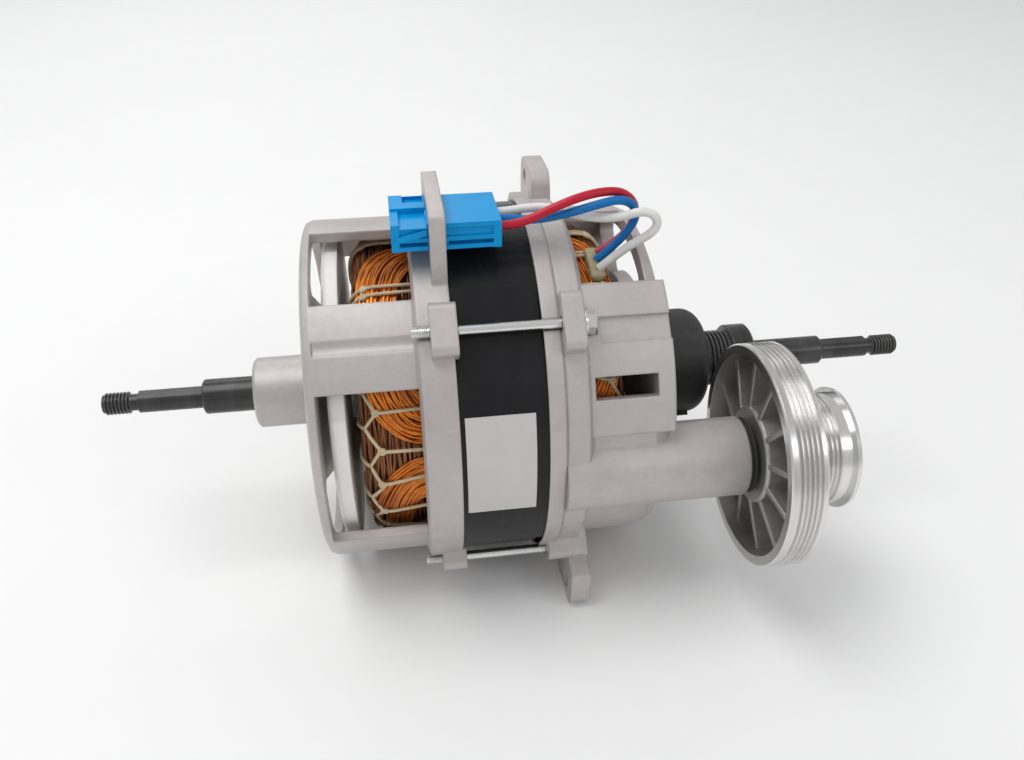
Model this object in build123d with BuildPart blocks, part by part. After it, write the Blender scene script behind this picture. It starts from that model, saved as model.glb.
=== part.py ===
from build123d import *
import os
from math import cos, pi, radians, sin, sqrt, tan

# Dryer motor with two fan shafts, a grooved motor pulley and a countershaft that carries
# a two-step belt pulley. X runs along the motor axis, -Y faces the front, +Z is up.
# Pieces are drawn about the middle of the stator stack. They are stored with the origin on
# the motor axis, in the plane of the fixing ears' left face.
# A corner angle is measured from the front horizontal, positive upward.

os.makedirs("parts", exist_ok=True)

# Driving dimensions, millimetres and degrees

# stator and rotor
stack_length = 40.0
stator_radius = 64.0
stator_flat = 62.4
stator_bore_radius = 35.0
air_gap = 0.4
slot_count = 24
slot_width = 5.2
slot_inner_radius = 38.0
slot_outer_radius = 50.6
slot_mouth_width = 2.4
liner_wall = 0.35
liner_gap = 0.06
liner_overhang = 2.0
bar_gap = 0.25
bundle_inner_radius = 37.4
bundle_clearance = 7.1
bundle_gap = 0.5
left_bundle_length = 20.6
right_bundle_length = 17.9
bundle_fillet_share = 0.3846
bundle_stack_fillet = 1.5
turn_diameter = 1.7
turn_pitch = 2.3
turn_gap = 0.25
turn_start_angle = 200.0
rotor_bar_count = 28
rotor_bar_radius = 2.2
rotor_bar_circle = 30.6
rotor_bar_gap = 0.04
cage_ring_inner = 24.0
cage_ring_length = 6.5
cage_fin_count = 9
cage_fin_height = 6.0
cage_fin_width = 2.6

# motor shaft
shaft_bearing_radius = 7.5
shaft_body_radius = 8.5
shaft_left_radius = 6.35
pulley_seat_radius = 6.0
shaft_right_radius = 5.5
shaft_relief = 0.3
shaft_step_gap = 0.3
fan_seat_radius = 4.0
fan_seat_flat = 3.5
fan_seat_length = 19.2
left_shaft_exposed = 18.8
right_shaft_exposed = 30.0
fan_seat_left_length = 22.8
undercut_radius = 3.05
undercut_length = 3.0
thread_radius = 4.0
thread_pitch = 1.25
thread_depth = 0.68
thread_length = 9.4

# main ball bearings, 15 x 32 x 9
main_bearing_outer = 16.0
main_bearing_width = 9.0
main_ball_radius = 2.38
main_ball_count = 9
# countershaft ball bearings, 10 x 22 x 6
counter_bearing_outer = 11.0
counter_bearing_width = 6.0
counter_ball_radius = 1.5
counter_ball_count = 9
bearing_ring_wall = 0.29
ball_gap = 0.04
bearing_fit = 0.01
washer_thickness = 0.5

# end bells
bell_radius = 61.0
bell_wall = 3.5
bell_edge_fillet = 3.0
rim_radius = 65.0
rim_overlap = 6.0
rim_length = 12.0
right_rim_length = 15.0
right_rim_step = 5.0
register_gap = 0.05
left_bell_depth = 40.6
right_bell_depth = 35.5
left_plate = 3.3
right_plate = 5.5
boss_radius = 19.5
neck_radius = 12.8
neck_bore_gap = 0.5
left_neck_length = 22.6
right_neck_length = 26.5
boss_proud_left = 3.2
boss_proud_right = 6.5
window_inset = 0.4
left_window_angles = ((57.0, 90.0), (-26.0, 30.0), (149.0, 210.0), (246.5, 296.0))
right_window_angles = ((58.5, 96.0), (150.0, 212.0), (238.5, 276.0))
slot_window_angles = (22.5, 29.3)
slot_window_length = 20.5
face_window_radius = 55.0
face_window_fillet = 3.0
left_strap_angle = 32.7
left_strap_half_width = 30.0
right_face_windows = ((62.0, 127.0), (242.0, 307.0))
right_face_window_inner = 36.0
pad_angles = (11.3, 57.5)
pad_height = 1.4
recess_half_width = 4.2
groove_cutter_radius = 4.0
groove_depth = 0.9
groove_angle = 43.5

# tie bolts and their lugs
bolt_circle_radius = 66.0
bolt_shank_radius = 1.6
bolt_thread_radius = 2.0
bolt_thread_pitch = 0.7
bolt_hole_radius = 2.25
bolt_tip_length = 5.7
bolt_thread_gap = 0.03
bolt_head_radius = 4.7
bolt_head_flange = 1.0
bolt_hex_flats = 7.0
bolt_head_height = 3.6
bolt_angles = (45.0, 135.0, 225.0, 315.0)
lug_reach = 70.5
lug_width = 17.0
lug_fillet = 2.5
left_lug_length = 8.3
left_lug_lap = 1.3
right_lug_width = 19.0
right_lug_inset = 5.7
bolt_seat_inset = 12.5
flange_inset = 9.5
flange_thickness = 7.0
ear_angles = (135.0, 315.0)
ear_inner_side = 36.0
ear_outer_side = 61.5
ear_side_foot = 48.0
ear_root = 48.0
ear_root_foot = 42.5
ear_hole_side = 52.0
ear_hole_height = 58.0
ear_hole_radius = 3.0
ear_fillet = 7.0
ear_near_fillet = 6.0
ear_lug_setback = 2.5

# countershaft and its tube
counter_distance = 55.0
counter_angle = -5.5
tube_radius = 13.4
tube_length = 25.1
tube_floor = 0.5
countershaft_radius = 5.0
countershaft_head_radius = 6.4
countershaft_head = 1.8
counter_bearing_spread = 8.0
retaining_ring_thickness = 1.0
retaining_ring_groove = 0.5
seal_gap = 0.2
seal_thickness = 2.1
seal_radius = 12.9
spacer_radius = 6.6

# two-step drive pulley
rim_outer_radius = 37.9
rim_wall = 3.5
pulley_gap = 0.4
rim_width = 12.0
rib_pitch = 1.6
rib_depth = 1.2
rim_rib_count = 5
rim_land = 2.5
web_thickness = 2.4
pulley_hub_radius = 16.5
pulley_hub_inset = 1.2
pocket_rib_count = 12
pocket_rib_width = 1.8
pocket_rib_inset = 4.2
pocket_rib_rise = 2.6
drum_radius = 19.0
drum_rib_count = 7
drum_width = 19.7
drum_land = 4.4
drum_flange_radius = 20.8
drum_flange = 1.4
drum_wall = 3.4
drum_hub_radius = 9.0
drum_hub_recess = 8.0
nut_height = 5.0
nut_flats = 13.0
nut_gap = 0.05
pulley_washer_radius = 8.0
pulley_washer_thickness = 1.2

# motor pulley and rubber ring
motor_pulley_radius = 10.6
motor_pulley_rib_count = 5
motor_pulley_lead = 2.0
motor_pulley_land = 0.5
collar_radius = 12.45
collar_length = 8.7
ring_radius = 20.0
ring_overhang = 1.8
ring_fillet = 7.0
ring_key_width = 9.0
ring_key_height = 1.2

# cooling fan
fan_tip_gap = 3.5
fan_band_wall = 2.4
fan_band_length = 5.4
fan_web = 2.2
fan_hub_radius = 12.0
fan_hub_length = 9.0
fan_blade_count = 11
fan_blade_width = 1.6
fan_blade_inner = 24.0
fan_edge_fillet = 2.0
fan_gap = 1.6

# connector and its bracket
bracket_front = 33.5
bracket_back = 7.0
bracket_top = 79.0
bracket_thickness = 5.0
bracket_corner = 3.0
connector_width = 22.8
connector_height = 9.0
connector_front = 28.7
connector_base = 65.4
connector_left = 16.5
connector_right = 17.6
connector_gap = 0.1
connector_floor = 9.0
connector_step = 0.7
connector_flange = 2.6
connector_drop = 1.2
connector_slot_depth = 1.6
connector_slot_height = 1.4
connector_latch_out = 1.4
circuit_count = 3
circuit_pitch = 5.7
socket_width = 4.6
socket_height = 5.6
terminal_width = 3.4
terminal_height = 0.8

# leads, their splice, rating plate
lead_diameter = 2.9
lead_seat_depth = 2.4
plate_gap = 0.05
plate_thickness = 0.35
plate_angles = (-11.0, 21.0)
plate_left = 12.4
plate_right = 9.8
splice_length = 15.0
splice_width = 5.4
splice_height = 3.6
splice_angle = 72.0
splice_station = 36.6

# Derived stations along X
stack_end = stack_length / 2
left_face = -stack_end - left_bell_depth
right_face = stack_end + right_bell_depth
left_rim_edge = -stack_end + rim_overlap
right_rim_edge = stack_end - rim_overlap
cavity_radius = bell_radius - bell_wall
bundle_outer_radius = cavity_radius - bundle_clearance
bundle_fillet = round((bundle_outer_radius - bundle_inner_radius) * bundle_fillet_share, 2)
fan_radius = cavity_radius - fan_tip_gap
rim_inner_radius = rim_outer_radius - rim_wall
left_boss_end = left_face - boss_proud_left
right_boss_end = right_face + boss_proud_right
left_neck_end = left_face - left_neck_length
right_neck_end = right_face + right_neck_length
left_bearing_left = left_boss_end + 2.0
left_bearing_right = left_bearing_left + main_bearing_width
right_bearing_right = right_boss_end - 2.0
right_bearing_left = right_bearing_right - main_bearing_width
shaft_seat_left = left_bearing_right
shaft_seat_right = right_bearing_left
left_bolt_lug = left_rim_edge + left_lug_lap
left_lug_face = left_bolt_lug - left_lug_length
flange_left = right_rim_edge + flange_inset
flange_right = flange_left + flange_thickness
bolt_seat = right_rim_edge + bolt_seat_inset
right_rim_end = right_rim_edge + right_rim_length
counter_y = -counter_distance * cos(radians(counter_angle))
counter_z = counter_distance * sin(radians(counter_angle))
tube_end = right_face + tube_length
pulley_left = tube_end + seal_gap + seal_thickness + pulley_gap
rim_rib_start = pulley_left + rim_land
motor_rib_start = rim_rib_start


def corner(radius, angle):
    """Point (y, z) at a radius from the motor axis and a corner angle."""
    return (-radius * cos(radians(angle)), radius * sin(radians(angle)))


def sector(inner, outer, start, end):
    """Outline of a wedge between two corner angles, wide of both radii."""
    middle = (start + end) / 2
    reach = outer / cos(radians((end - start) / 2))
    return [
        corner(inner, start),
        corner(outer, start),
        corner(reach, middle),
        corner(outer, end),
        corner(inner, end),
    ]


def ribbed(start, count, crest, root, pitch, flat=0.25):
    """Profile points of V ribs, from the left land of the first groove to the right land of the last."""
    points = []
    for index in range(count):
        left = start + index * pitch
        points.append((left, crest))
        points.append((left + pitch / 2 - flat / 2, root))
        points.append((left + pitch / 2 + flat / 2, root))
        points.append((left + pitch - flat, crest))
    return points


counter_profile = Plane(origin=(0, counter_y, counter_z), x_dir=(1, 0, 0), z_dir=(0, -1, 0))
counter_axis = Axis((0, counter_y, counter_z), (1, 0, 0))
counter_section = Plane(origin=(0, counter_y, counter_z), x_dir=(0, 1, 0), z_dir=(1, 0, 0))


def path_length(path):
    """Length of all edges of a drawn path."""
    return sum(edge.length for edge in path.edges())


def save(part, name):
    """Label a finished piece, move it to the stored origin and write its file."""
    piece = part.part.moved(Location((-flange_left, 0, 0)))
    piece.label = name
    export_step(piece, "parts/" + name + ".step")


# Stator core: slotted laminations with four flats under the tie bolts
with BuildPart() as stator_core:
    with BuildSketch(Plane.YZ.offset(-stack_end)) as lamination:
        Circle(stator_radius)
        with PolarLocations(0, 4, start_angle=45):
            with Locations((stator_flat + stator_radius / 2, 0)):
                Rectangle(stator_radius, stator_radius, mode=Mode.SUBTRACT)
        Circle(stator_bore_radius, mode=Mode.SUBTRACT)
        with PolarLocations(0, slot_count):
            with Locations(((slot_inner_radius + slot_outer_radius) / 2, 0)):
                Rectangle(slot_outer_radius - slot_inner_radius, slot_width, mode=Mode.SUBTRACT)
            with Locations(((stator_bore_radius + slot_inner_radius) / 2, 0)):
                Rectangle(
                    slot_inner_radius - stator_bore_radius + 1.5,
                    slot_mouth_width,
                    mode=Mode.SUBTRACT,
                )
    extrude(amount=stack_length)
save(stator_core, "stator_core")

# Slot liners: thin insulating sleeves, one in each slot, standing proud at both ends
liner_middle = (slot_inner_radius + slot_outer_radius) / 2
liner_depth = slot_outer_radius - slot_inner_radius - 2 * liner_gap
liner_width = slot_width - 2 * liner_gap
with BuildPart() as slot_liners:
    with BuildSketch(Plane.YZ.offset(-stack_end - liner_overhang)):
        with PolarLocations(liner_middle, slot_count):
            Rectangle(liner_depth, liner_width)
            Rectangle(liner_depth - 2 * liner_wall, liner_width - 2 * liner_wall, mode=Mode.SUBTRACT)
    extrude(amount=stack_length + 2 * liner_overhang)
save(slot_liners, "slot_liners")

# Stator winding: a bar of wire in each slot between two laced end bundles
bar_depth = liner_depth - 2 * liner_wall - 2 * bar_gap
bar_width = liner_width - 2 * liner_wall - 2 * bar_gap
bundle_start = stack_end + liner_overhang + bundle_gap
bundle_sides = ((-1, left_bundle_length), (1, right_bundle_length))
with BuildPart() as stator_winding:
    with BuildSketch(Plane.YZ.offset(-bundle_start - 1)):
        with PolarLocations(liner_middle, slot_count):
            Rectangle(bar_depth, bar_width)
    extrude(amount=2 * bundle_start + 2)
    for side, length in bundle_sides:
        with BuildSketch(Plane.XZ) as bundle_section:
            with Locations((side * (bundle_start + length / 2), (bundle_inner_radius + bundle_outer_radius) / 2)):
                Rectangle(length, bundle_outer_radius - bundle_inner_radius)
            far_corners = bundle_section.vertices().group_by(Axis.X)[-1 if side > 0 else 0]
            fillet(far_corners, bundle_fillet)
            near_corners = bundle_section.vertices().group_by(Axis.X)[0 if side > 0 else -1]
            fillet(near_corners, bundle_stack_fillet)
        revolve(axis=Axis.X)
save(stator_winding, "stator_winding")


def turn_point(side, length, turn):
    """Point of the outer layer's wire after a number of loops round the motor axis."""
    offset = turn_gap + turn_diameter / 2
    bend = bundle_fillet + offset
    travel = turn_pitch * turn
    side_run = length - bundle_stack_fillet - bundle_fillet
    bend_run = bend * pi / 2
    bend_start = bundle_start + length - bundle_fillet
    if travel < side_run:
        station = bundle_start + bundle_stack_fillet + travel
        radius = bundle_outer_radius + offset
    elif travel < side_run + bend_run:
        swing = (travel - side_run) / bend
        station = bend_start + bend * sin(swing)
        radius = bundle_outer_radius - bundle_fillet + bend * cos(swing)
    else:
        station = bend_start + bend
        radius = bundle_outer_radius - bundle_fillet - (travel - side_run - bend_run)
    y, z = corner(radius, 360 * turn + turn_start_angle)
    return Vector(side * station, y, z)


def turn_way(side, length, turn):
    """Direction of the wire at a point of the outer layer."""
    step = 0.002
    before = turn_point(side, length, turn - step)
    after = turn_point(side, length, turn + step)
    return (after - before).normalized()


def arc_middle(start, apex, end):
    """Middle point of the arc that is tangent to both sides of the corner at apex."""
    base = (start + end) * 0.5
    half = (end - start).length / 2
    height = (apex - base).length
    rise = half * ((apex - start).length - half) / height
    return base + (apex - base).normalized() * rise


def biarc(start, start_way, end, end_way):
    """Middle points and the joint of the two arcs that join two points with given directions."""
    gap = end - start
    a = 2 * (1 - start_way.dot(end_way))
    b = 2 * gap.dot(start_way + end_way)
    c = -gap.dot(gap)
    reach = (-b + sqrt(b * b - 4 * a * c)) / (2 * a)
    first = start + start_way * reach
    last = end - end_way * reach
    joint = (first + last) * 0.5
    return arc_middle(start, first, joint), joint, arc_middle(joint, last, end)


def least_gap(side, length, loops):
    """Least clear distance between neighbouring loops, measured on points of the path."""
    steps = 24
    points = [turn_point(side, length, index / steps) for index in range(loops * steps + 1)]
    gap = 1e9
    for index, point in enumerate(points):
        for other in range(index + steps // 2, min(index + 2 * steps, len(points))):
            gap = min(gap, (points[other] - point).length)
    return gap - turn_diameter


def wound_edges(side, length, loops):
    """Path of one outer layer: a biarc for each quarter turn and a straight lead at each end."""
    knots = [turn_point(side, length, index / 4) for index in range(4 * loops + 1)]
    ways = [turn_way(side, length, index / 4) for index in range(4 * loops + 1)]
    edges = [Line(knots[0] - ways[0] * turn_diameter, knots[0])]
    for index in range(4 * loops):
        first, joint, last = biarc(knots[index], ways[index], knots[index + 1], ways[index + 1])
        edges.append(ThreePointArc(knots[index], first, joint))
        edges.append(ThreePointArc(joint, last, knots[index + 1]))
    edges.append(Line(knots[-1], knots[-1] + ways[-1] * turn_diameter))
    return edges


turn_names = {-1: "winding_turns_left", 1: "winding_turns_right"}
for side, length in bundle_sides:
    bend_run = (bundle_fillet + turn_gap + turn_diameter / 2) * pi / 2
    flat_run = max(bundle_outer_radius - bundle_inner_radius - 2 * bundle_fillet, 0)
    loops = int((length - bundle_stack_fillet - bundle_fillet + bend_run + flat_run) / turn_pitch)
    with BuildPart() as winding_turns:
        with BuildLine() as turn_path:
            for edge in wound_edges(side, length, loops):
                add(edge)
        with BuildSketch(turn_path.line ^ 0):
            Circle(turn_diameter / 2)
        sweep()
    print(turn_names[side], "loops", loops, "least gap", round(least_gap(side, length, loops), 2))
    print("volume", round(winding_turns.part.volume, 1),
          "section times length", round(pi * turn_diameter ** 2 / 4 * path_length(turn_path), 1))
    save(winding_turns, turn_names[side])

# Rotor core: laminations with closed bar holes, pressed on the shaft
rotor_radius = stator_bore_radius - air_gap
with BuildPart() as rotor_core:
    with BuildSketch(Plane.YZ.offset(-stack_end)):
        Circle(rotor_radius)
        Circle(shaft_body_radius, mode=Mode.SUBTRACT)
        with PolarLocations(rotor_bar_circle, rotor_bar_count):
            Circle(rotor_bar_radius, mode=Mode.SUBTRACT)
    extrude(amount=stack_length)
save(rotor_core, "rotor_core")

# Rotor cage: cast bars, two end rings and their stirring fins
with BuildPart() as rotor_cage:
    with BuildSketch(Plane.YZ.offset(-stack_end - 1)):
        with PolarLocations(rotor_bar_circle, rotor_bar_count):
            Circle(rotor_bar_radius - rotor_bar_gap)
    extrude(amount=stack_length + 2)
    for side in (-1, 1):
        with BuildSketch(Plane.YZ.offset(side * stack_end)):
            Circle(rotor_radius - 0.3)
            Circle(cage_ring_inner, mode=Mode.SUBTRACT)
        extrude(amount=side * cage_ring_length)
        with BuildSketch(Plane.YZ.offset(side * (stack_end + cage_ring_length))):
            with PolarLocations((cage_ring_inner + rotor_radius) / 2, cage_fin_count):
                Rectangle(rotor_radius - cage_ring_inner - 2.5, cage_fin_width)
        extrude(amount=side * cage_fin_height)
save(rotor_cage, "rotor_cage")

# Motor shaft: bearing seats, fan seats with two flats, and a thread at each end
left_seat_end = left_neck_end - left_shaft_exposed
left_thread_start = left_seat_end - fan_seat_left_length
motor_pulley_right = motor_rib_start + motor_pulley_rib_count * rib_pitch + motor_pulley_land + collar_length
right_seat_start = motor_pulley_right + right_shaft_exposed
right_thread_start = right_seat_start + fan_seat_length


def thread_points(start, way):
    """Profile points of a short thread drawn as rings, outward along X."""
    points = [(start, undercut_radius)]
    first = start + way * undercut_length
    points.append((first, undercut_radius))
    crests = int((thread_length - 0.6) / thread_pitch)
    for index in range(crests):
        left = first + way * index * thread_pitch
        points.append((left + way * 0.1, thread_radius - thread_depth))
        points.append((left + way * 0.45, thread_radius))
        points.append((left + way * 0.8, thread_radius))
        points.append((left + way * 1.15, thread_radius - thread_depth))
    points.append((first + way * thread_length, thread_radius - thread_depth))
    return points


with BuildPart() as motor_shaft:
    with BuildSketch(Plane.XZ):
        with BuildLine():
            left_end = thread_points(left_thread_start, -1)
            right_end = thread_points(right_thread_start, 1)
            outline = [(left_end[-1][0], 0)]
            outline += left_end[::-1]
            outline += [
                (left_thread_start, fan_seat_radius),
                (left_seat_end, fan_seat_radius),
                (left_seat_end, shaft_left_radius - 0.6),
                (left_seat_end + 0.6, shaft_left_radius),
                (left_neck_end - shaft_step_gap, shaft_left_radius),
                (left_neck_end - shaft_step_gap, shaft_left_radius - shaft_relief),
                (left_bearing_left - shaft_step_gap, shaft_left_radius - shaft_relief),
                (left_bearing_left - shaft_step_gap, shaft_bearing_radius),
                (shaft_seat_left, shaft_bearing_radius),
                (shaft_seat_left, shaft_body_radius),
                (shaft_seat_right, shaft_body_radius),
                (shaft_seat_right, shaft_bearing_radius),
                (right_bearing_right - shaft_step_gap, shaft_bearing_radius),
                (right_bearing_right - shaft_step_gap, pulley_seat_radius),
                (motor_pulley_right, pulley_seat_radius),
                (motor_pulley_right, shaft_right_radius),
                (right_seat_start - 0.6, shaft_right_radius),
                (right_seat_start, shaft_right_radius - 0.6),
                (right_seat_start, fan_seat_radius),
                (right_thread_start, fan_seat_radius),
            ]
            outline += right_end
            outline.append((right_end[-1][0], 0))
            Polyline(outline, close=True)
        make_face()
    revolve(axis=Axis.X)
    for seat_start, seat_end in ((left_thread_start, left_seat_end), (right_seat_start, right_thread_start)):
        with BuildSketch(Plane.YZ.offset(seat_start)):
            for way in (-1, 1):
                with Locations((0, way * (fan_seat_flat + fan_seat_radius))):
                    Rectangle(4 * fan_seat_radius, 2 * fan_seat_radius)
        extrude(amount=seat_end - seat_start, mode=Mode.SUBTRACT)
save(motor_shaft, "motor_shaft")


def bearing_pieces(section, profile, axis, left, bore, outer, width, ball, balls):
    """Outer ring, inner ring and balls of one ball bearing."""
    pitch = (bore + outer) / 2
    groove = ball + ball_gap
    shoulder = (outer - bore) * bearing_ring_wall
    with BuildPart() as outer_ring:
        with BuildSketch(profile):
            with Locations((left + width / 2, outer - shoulder / 2)):
                Rectangle(width, shoulder)
            with Locations((left + width / 2, pitch)):
                Circle(groove, mode=Mode.SUBTRACT)
        revolve(axis=axis)
    with BuildPart() as inner_ring:
        with BuildSketch(profile):
            with Locations((left + width / 2, bore + shoulder / 2)):
                Rectangle(width, shoulder)
            with Locations((left + width / 2, pitch)):
                Circle(groove, mode=Mode.SUBTRACT)
        revolve(axis=axis)
    with BuildPart() as ball_set:
        with Locations(section.offset(left + width / 2)):
            with PolarLocations(pitch, balls):
                Sphere(ball)
    return outer_ring, inner_ring, ball_set


bearing_list = (
    ("main_bearing_left", Plane.YZ, Plane.XZ, Axis.X, left_bearing_left, shaft_bearing_radius,
     main_bearing_outer, main_bearing_width, main_ball_radius, main_ball_count),
    ("main_bearing_right", Plane.YZ, Plane.XZ, Axis.X, right_bearing_left, shaft_bearing_radius,
     main_bearing_outer, main_bearing_width, main_ball_radius, main_ball_count),
)

counter_inner_end = right_face + tube_floor + countershaft_head + 0.2
counter_bearing_1 = counter_inner_end
counter_bearing_2 = counter_bearing_1 + counter_bearing_width + counter_bearing_spread
retaining_left = counter_bearing_2 + counter_bearing_width
bearing_list += (
    ("counter_bearing_inner_end", counter_section, counter_profile, counter_axis, counter_bearing_1,
     countershaft_radius, counter_bearing_outer, counter_bearing_width, counter_ball_radius,
     counter_ball_count),
    ("counter_bearing_pulley_end", counter_section, counter_profile, counter_axis, counter_bearing_2,
     countershaft_radius, counter_bearing_outer, counter_bearing_width, counter_ball_radius,
     counter_ball_count),
)
for name, section, profile, axis, left, bore, outer, width, ball, balls in bearing_list:
    outer_ring, inner_ring, ball_set = bearing_pieces(
        section, profile, axis, left, bore, outer, width, ball, balls
    )
    save(outer_ring, name + "_outer_ring")
    save(inner_ring, name + "_inner_ring")
    save(ball_set, name + "_balls")

# Preload washer between the left bearing and its seat
with BuildPart() as preload_washer:
    with BuildSketch(Plane.YZ.offset(left_bearing_left - washer_thickness)):
        Circle(main_bearing_outer - 0.4)
        Circle(main_bearing_outer - 3.6, mode=Mode.SUBTRACT)
    extrude(amount=washer_thickness)
save(preload_washer, "preload_washer")


def bolt_circles(start, radius):
    """Circles on the four tie bolt lines."""
    with BuildSketch(Plane.YZ.offset(start)) as circles:
        for angle in bolt_angles:
            with Locations(corner(bolt_circle_radius, angle)):
                Circle(radius)
    return circles.sketch


def lug_blocks(start, angles, width):
    """Outline of the tie bolt lugs at the given corners."""
    with BuildSketch(Plane.YZ.offset(start)) as lugs:
        for angle in angles:
            with Locations(Location((*corner((cavity_radius + lug_reach) / 2, angle), 0), 180 - angle)):
                RectangleRounded(lug_reach - cavity_radius, width, lug_fillet)
    return lugs.sketch


def window_wedges(start, inner, spans):
    """Wedges that open the barrel wall between pairs of corner angles."""
    with BuildSketch(Plane.YZ.offset(start)) as wedges:
        for span in spans:
            with BuildLine():
                Polyline(sector(inner, rim_radius + 4, *span), close=True)
            make_face()
    return wedges.sketch


def strap_openings(start):
    """Two openings in the left face, one on each side of a strap that carries the boss."""
    with BuildSketch(Plane.YZ.offset(start)) as openings:
        Circle(face_window_radius)
        Rectangle(
            3 * face_window_radius,
            2 * left_strap_half_width,
            rotation=180 - left_strap_angle,
            mode=Mode.SUBTRACT,
        )
        fillet(openings.vertices(), face_window_fillet)
    return openings.sketch


def arc_openings(start, spans):
    """Curved openings in the right face between pairs of corner angles."""
    with BuildSketch(Plane.YZ.offset(start)) as openings:
        for span in spans:
            with BuildLine():
                Polyline(sector(boss_radius, rim_radius, *span), close=True)
            make_face()
        Circle(face_window_radius, mode=Mode.INTERSECT)
        Circle(right_face_window_inner, mode=Mode.SUBTRACT)
        fillet(openings.vertices(), face_window_fillet)
    return openings.sketch


def recess_blocks(start, angles, radius):
    """Blocks that mill a flat run in the right barrel below a tie bolt's line."""
    with BuildSketch(Plane.YZ.offset(start)) as blocks:
        for angle in angles:
            with Locations(Location((*corner(radius + recess_half_width, angle), 0), 180 - angle)):
                Rectangle(2 * recess_half_width, 2 * recess_half_width)
    return blocks.sketch


def groove_circles(start, angles):
    """Round cutters that leave a shallow groove in the left barrel along a tie bolt's line."""
    with BuildSketch(Plane.YZ.offset(start)) as circles:
        for angle in angles:
            with Locations(corner(bell_radius - groove_depth + groove_cutter_radius, angle)):
                Circle(groove_cutter_radius)
    return circles.sketch


# Left end bell: turned barrel with four windows, bearing boss, neck, lugs and connector bracket
bracket_right = left_rim_edge
bracket_left = bracket_right - bracket_thickness
connector_y = -connector_front + connector_width / 2
connector_z = connector_base + connector_height / 2
with BuildPart() as left_end_bell:
    with BuildSketch(Plane.XZ):
        with BuildLine():
            Polyline(
                (left_neck_end, 0),
                (left_neck_end, neck_radius - 1.0),
                (left_neck_end + 1.0, neck_radius),
                (left_boss_end, neck_radius),
                (left_boss_end, boss_radius - 1.0),
                (left_boss_end + 1.0, boss_radius),
                (left_face, boss_radius),
                (left_face, bell_radius - bell_edge_fillet),
                (left_face + bell_edge_fillet * 0.3, bell_radius - bell_edge_fillet * 0.3),
                (left_face + bell_edge_fillet, bell_radius),
                (left_rim_edge - rim_length, bell_radius),
                (left_rim_edge - rim_length + 1.2, rim_radius),
                (left_rim_edge, rim_radius),
                (left_rim_edge, 0),
                close=True,
            )
        make_face()
    revolve(axis=Axis.X)
    extrude(lug_blocks(left_lug_face, bolt_angles, lug_width), amount=left_lug_length)
    with BuildSketch(Plane.YZ.offset(bracket_left)):
        with BuildLine():
            Polyline(
                (-bracket_front, cavity_radius * 0.8),
                (-bracket_front, bracket_top),
                (bracket_back, bracket_top),
                (bracket_back, cavity_radius * 0.9),
                close=True,
            )
        bracket_outline = make_face()
        fillet(bracket_outline.vertices().group_by(Axis.Y)[-1], bracket_corner)
    extrude(amount=bracket_thickness)
    extrude(
        groove_circles(left_face + left_plate, (groove_angle, groove_angle + 180)),
        amount=left_rim_edge - rim_length - left_face - left_plate,
        mode=Mode.SUBTRACT,
    )
    with BuildSketch(Plane.XZ):
        with BuildLine():
            Polyline(
                (left_face + left_plate, 0),
                (left_face + left_plate, cavity_radius),
                (-stack_end, cavity_radius),
                (-stack_end, stator_radius + register_gap),
                (left_bolt_lug + 1, stator_radius + register_gap),
                (left_bolt_lug + 1, 0),
                close=True,
            )
        make_face()
    revolve(axis=Axis.X, mode=Mode.SUBTRACT)
    with BuildSketch(Plane.YZ.offset(left_face)):
        Circle(boss_radius)
    extrude(amount=left_bearing_right - left_face - 0.2)
    with BuildSketch(Plane.YZ.offset(left_bearing_left - washer_thickness)):
        Circle(main_bearing_outer + bearing_fit)
    extrude(amount=main_bearing_width + washer_thickness + 1, mode=Mode.SUBTRACT)
    with BuildSketch(Plane.YZ.offset(left_neck_end)):
        Circle(shaft_left_radius + neck_bore_gap)
    extrude(amount=left_bearing_left - left_neck_end + 1, mode=Mode.SUBTRACT)
    extrude(
        window_wedges(left_face + left_plate, 2 * boss_radius, left_window_angles),
        amount=left_rim_edge - rim_length + window_inset - left_face - left_plate,
        mode=Mode.SUBTRACT,
    )
    extrude(strap_openings(left_face - 1), amount=left_plate + 2, mode=Mode.SUBTRACT)
    extrude(
        bolt_circles(left_lug_face - bolt_tip_length - 2, bolt_thread_radius + 0.4),
        amount=bolt_tip_length + 2,
        mode=Mode.SUBTRACT,
    )
    extrude(
        bolt_circles(left_lug_face, bolt_thread_radius + bolt_thread_gap),
        amount=left_lug_length + 1,
        mode=Mode.SUBTRACT,
    )
    with BuildSketch(Plane.YZ.offset(bracket_left - 1)):
        with Locations((connector_y, connector_z)):
            Rectangle(connector_width + 2 * connector_gap, connector_height + 2 * connector_gap)
    extrude(amount=bracket_thickness + 2, mode=Mode.SUBTRACT)
save(left_end_bell, "left_end_bell")


def ear_points(way):
    """Outline of one fixing ear: a lug level with the rim's top or bottom that points sideways."""
    return [
        (way * ear_inner_side * 0.7, way * ear_inner_side * 0.7),
        (way * ear_inner_side, way * rim_radius),
        (way * ear_outer_side, way * rim_radius),
        (way * ear_outer_side, way * ear_side_foot),
        (way * ear_root, way * ear_root_foot),
    ]


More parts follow.
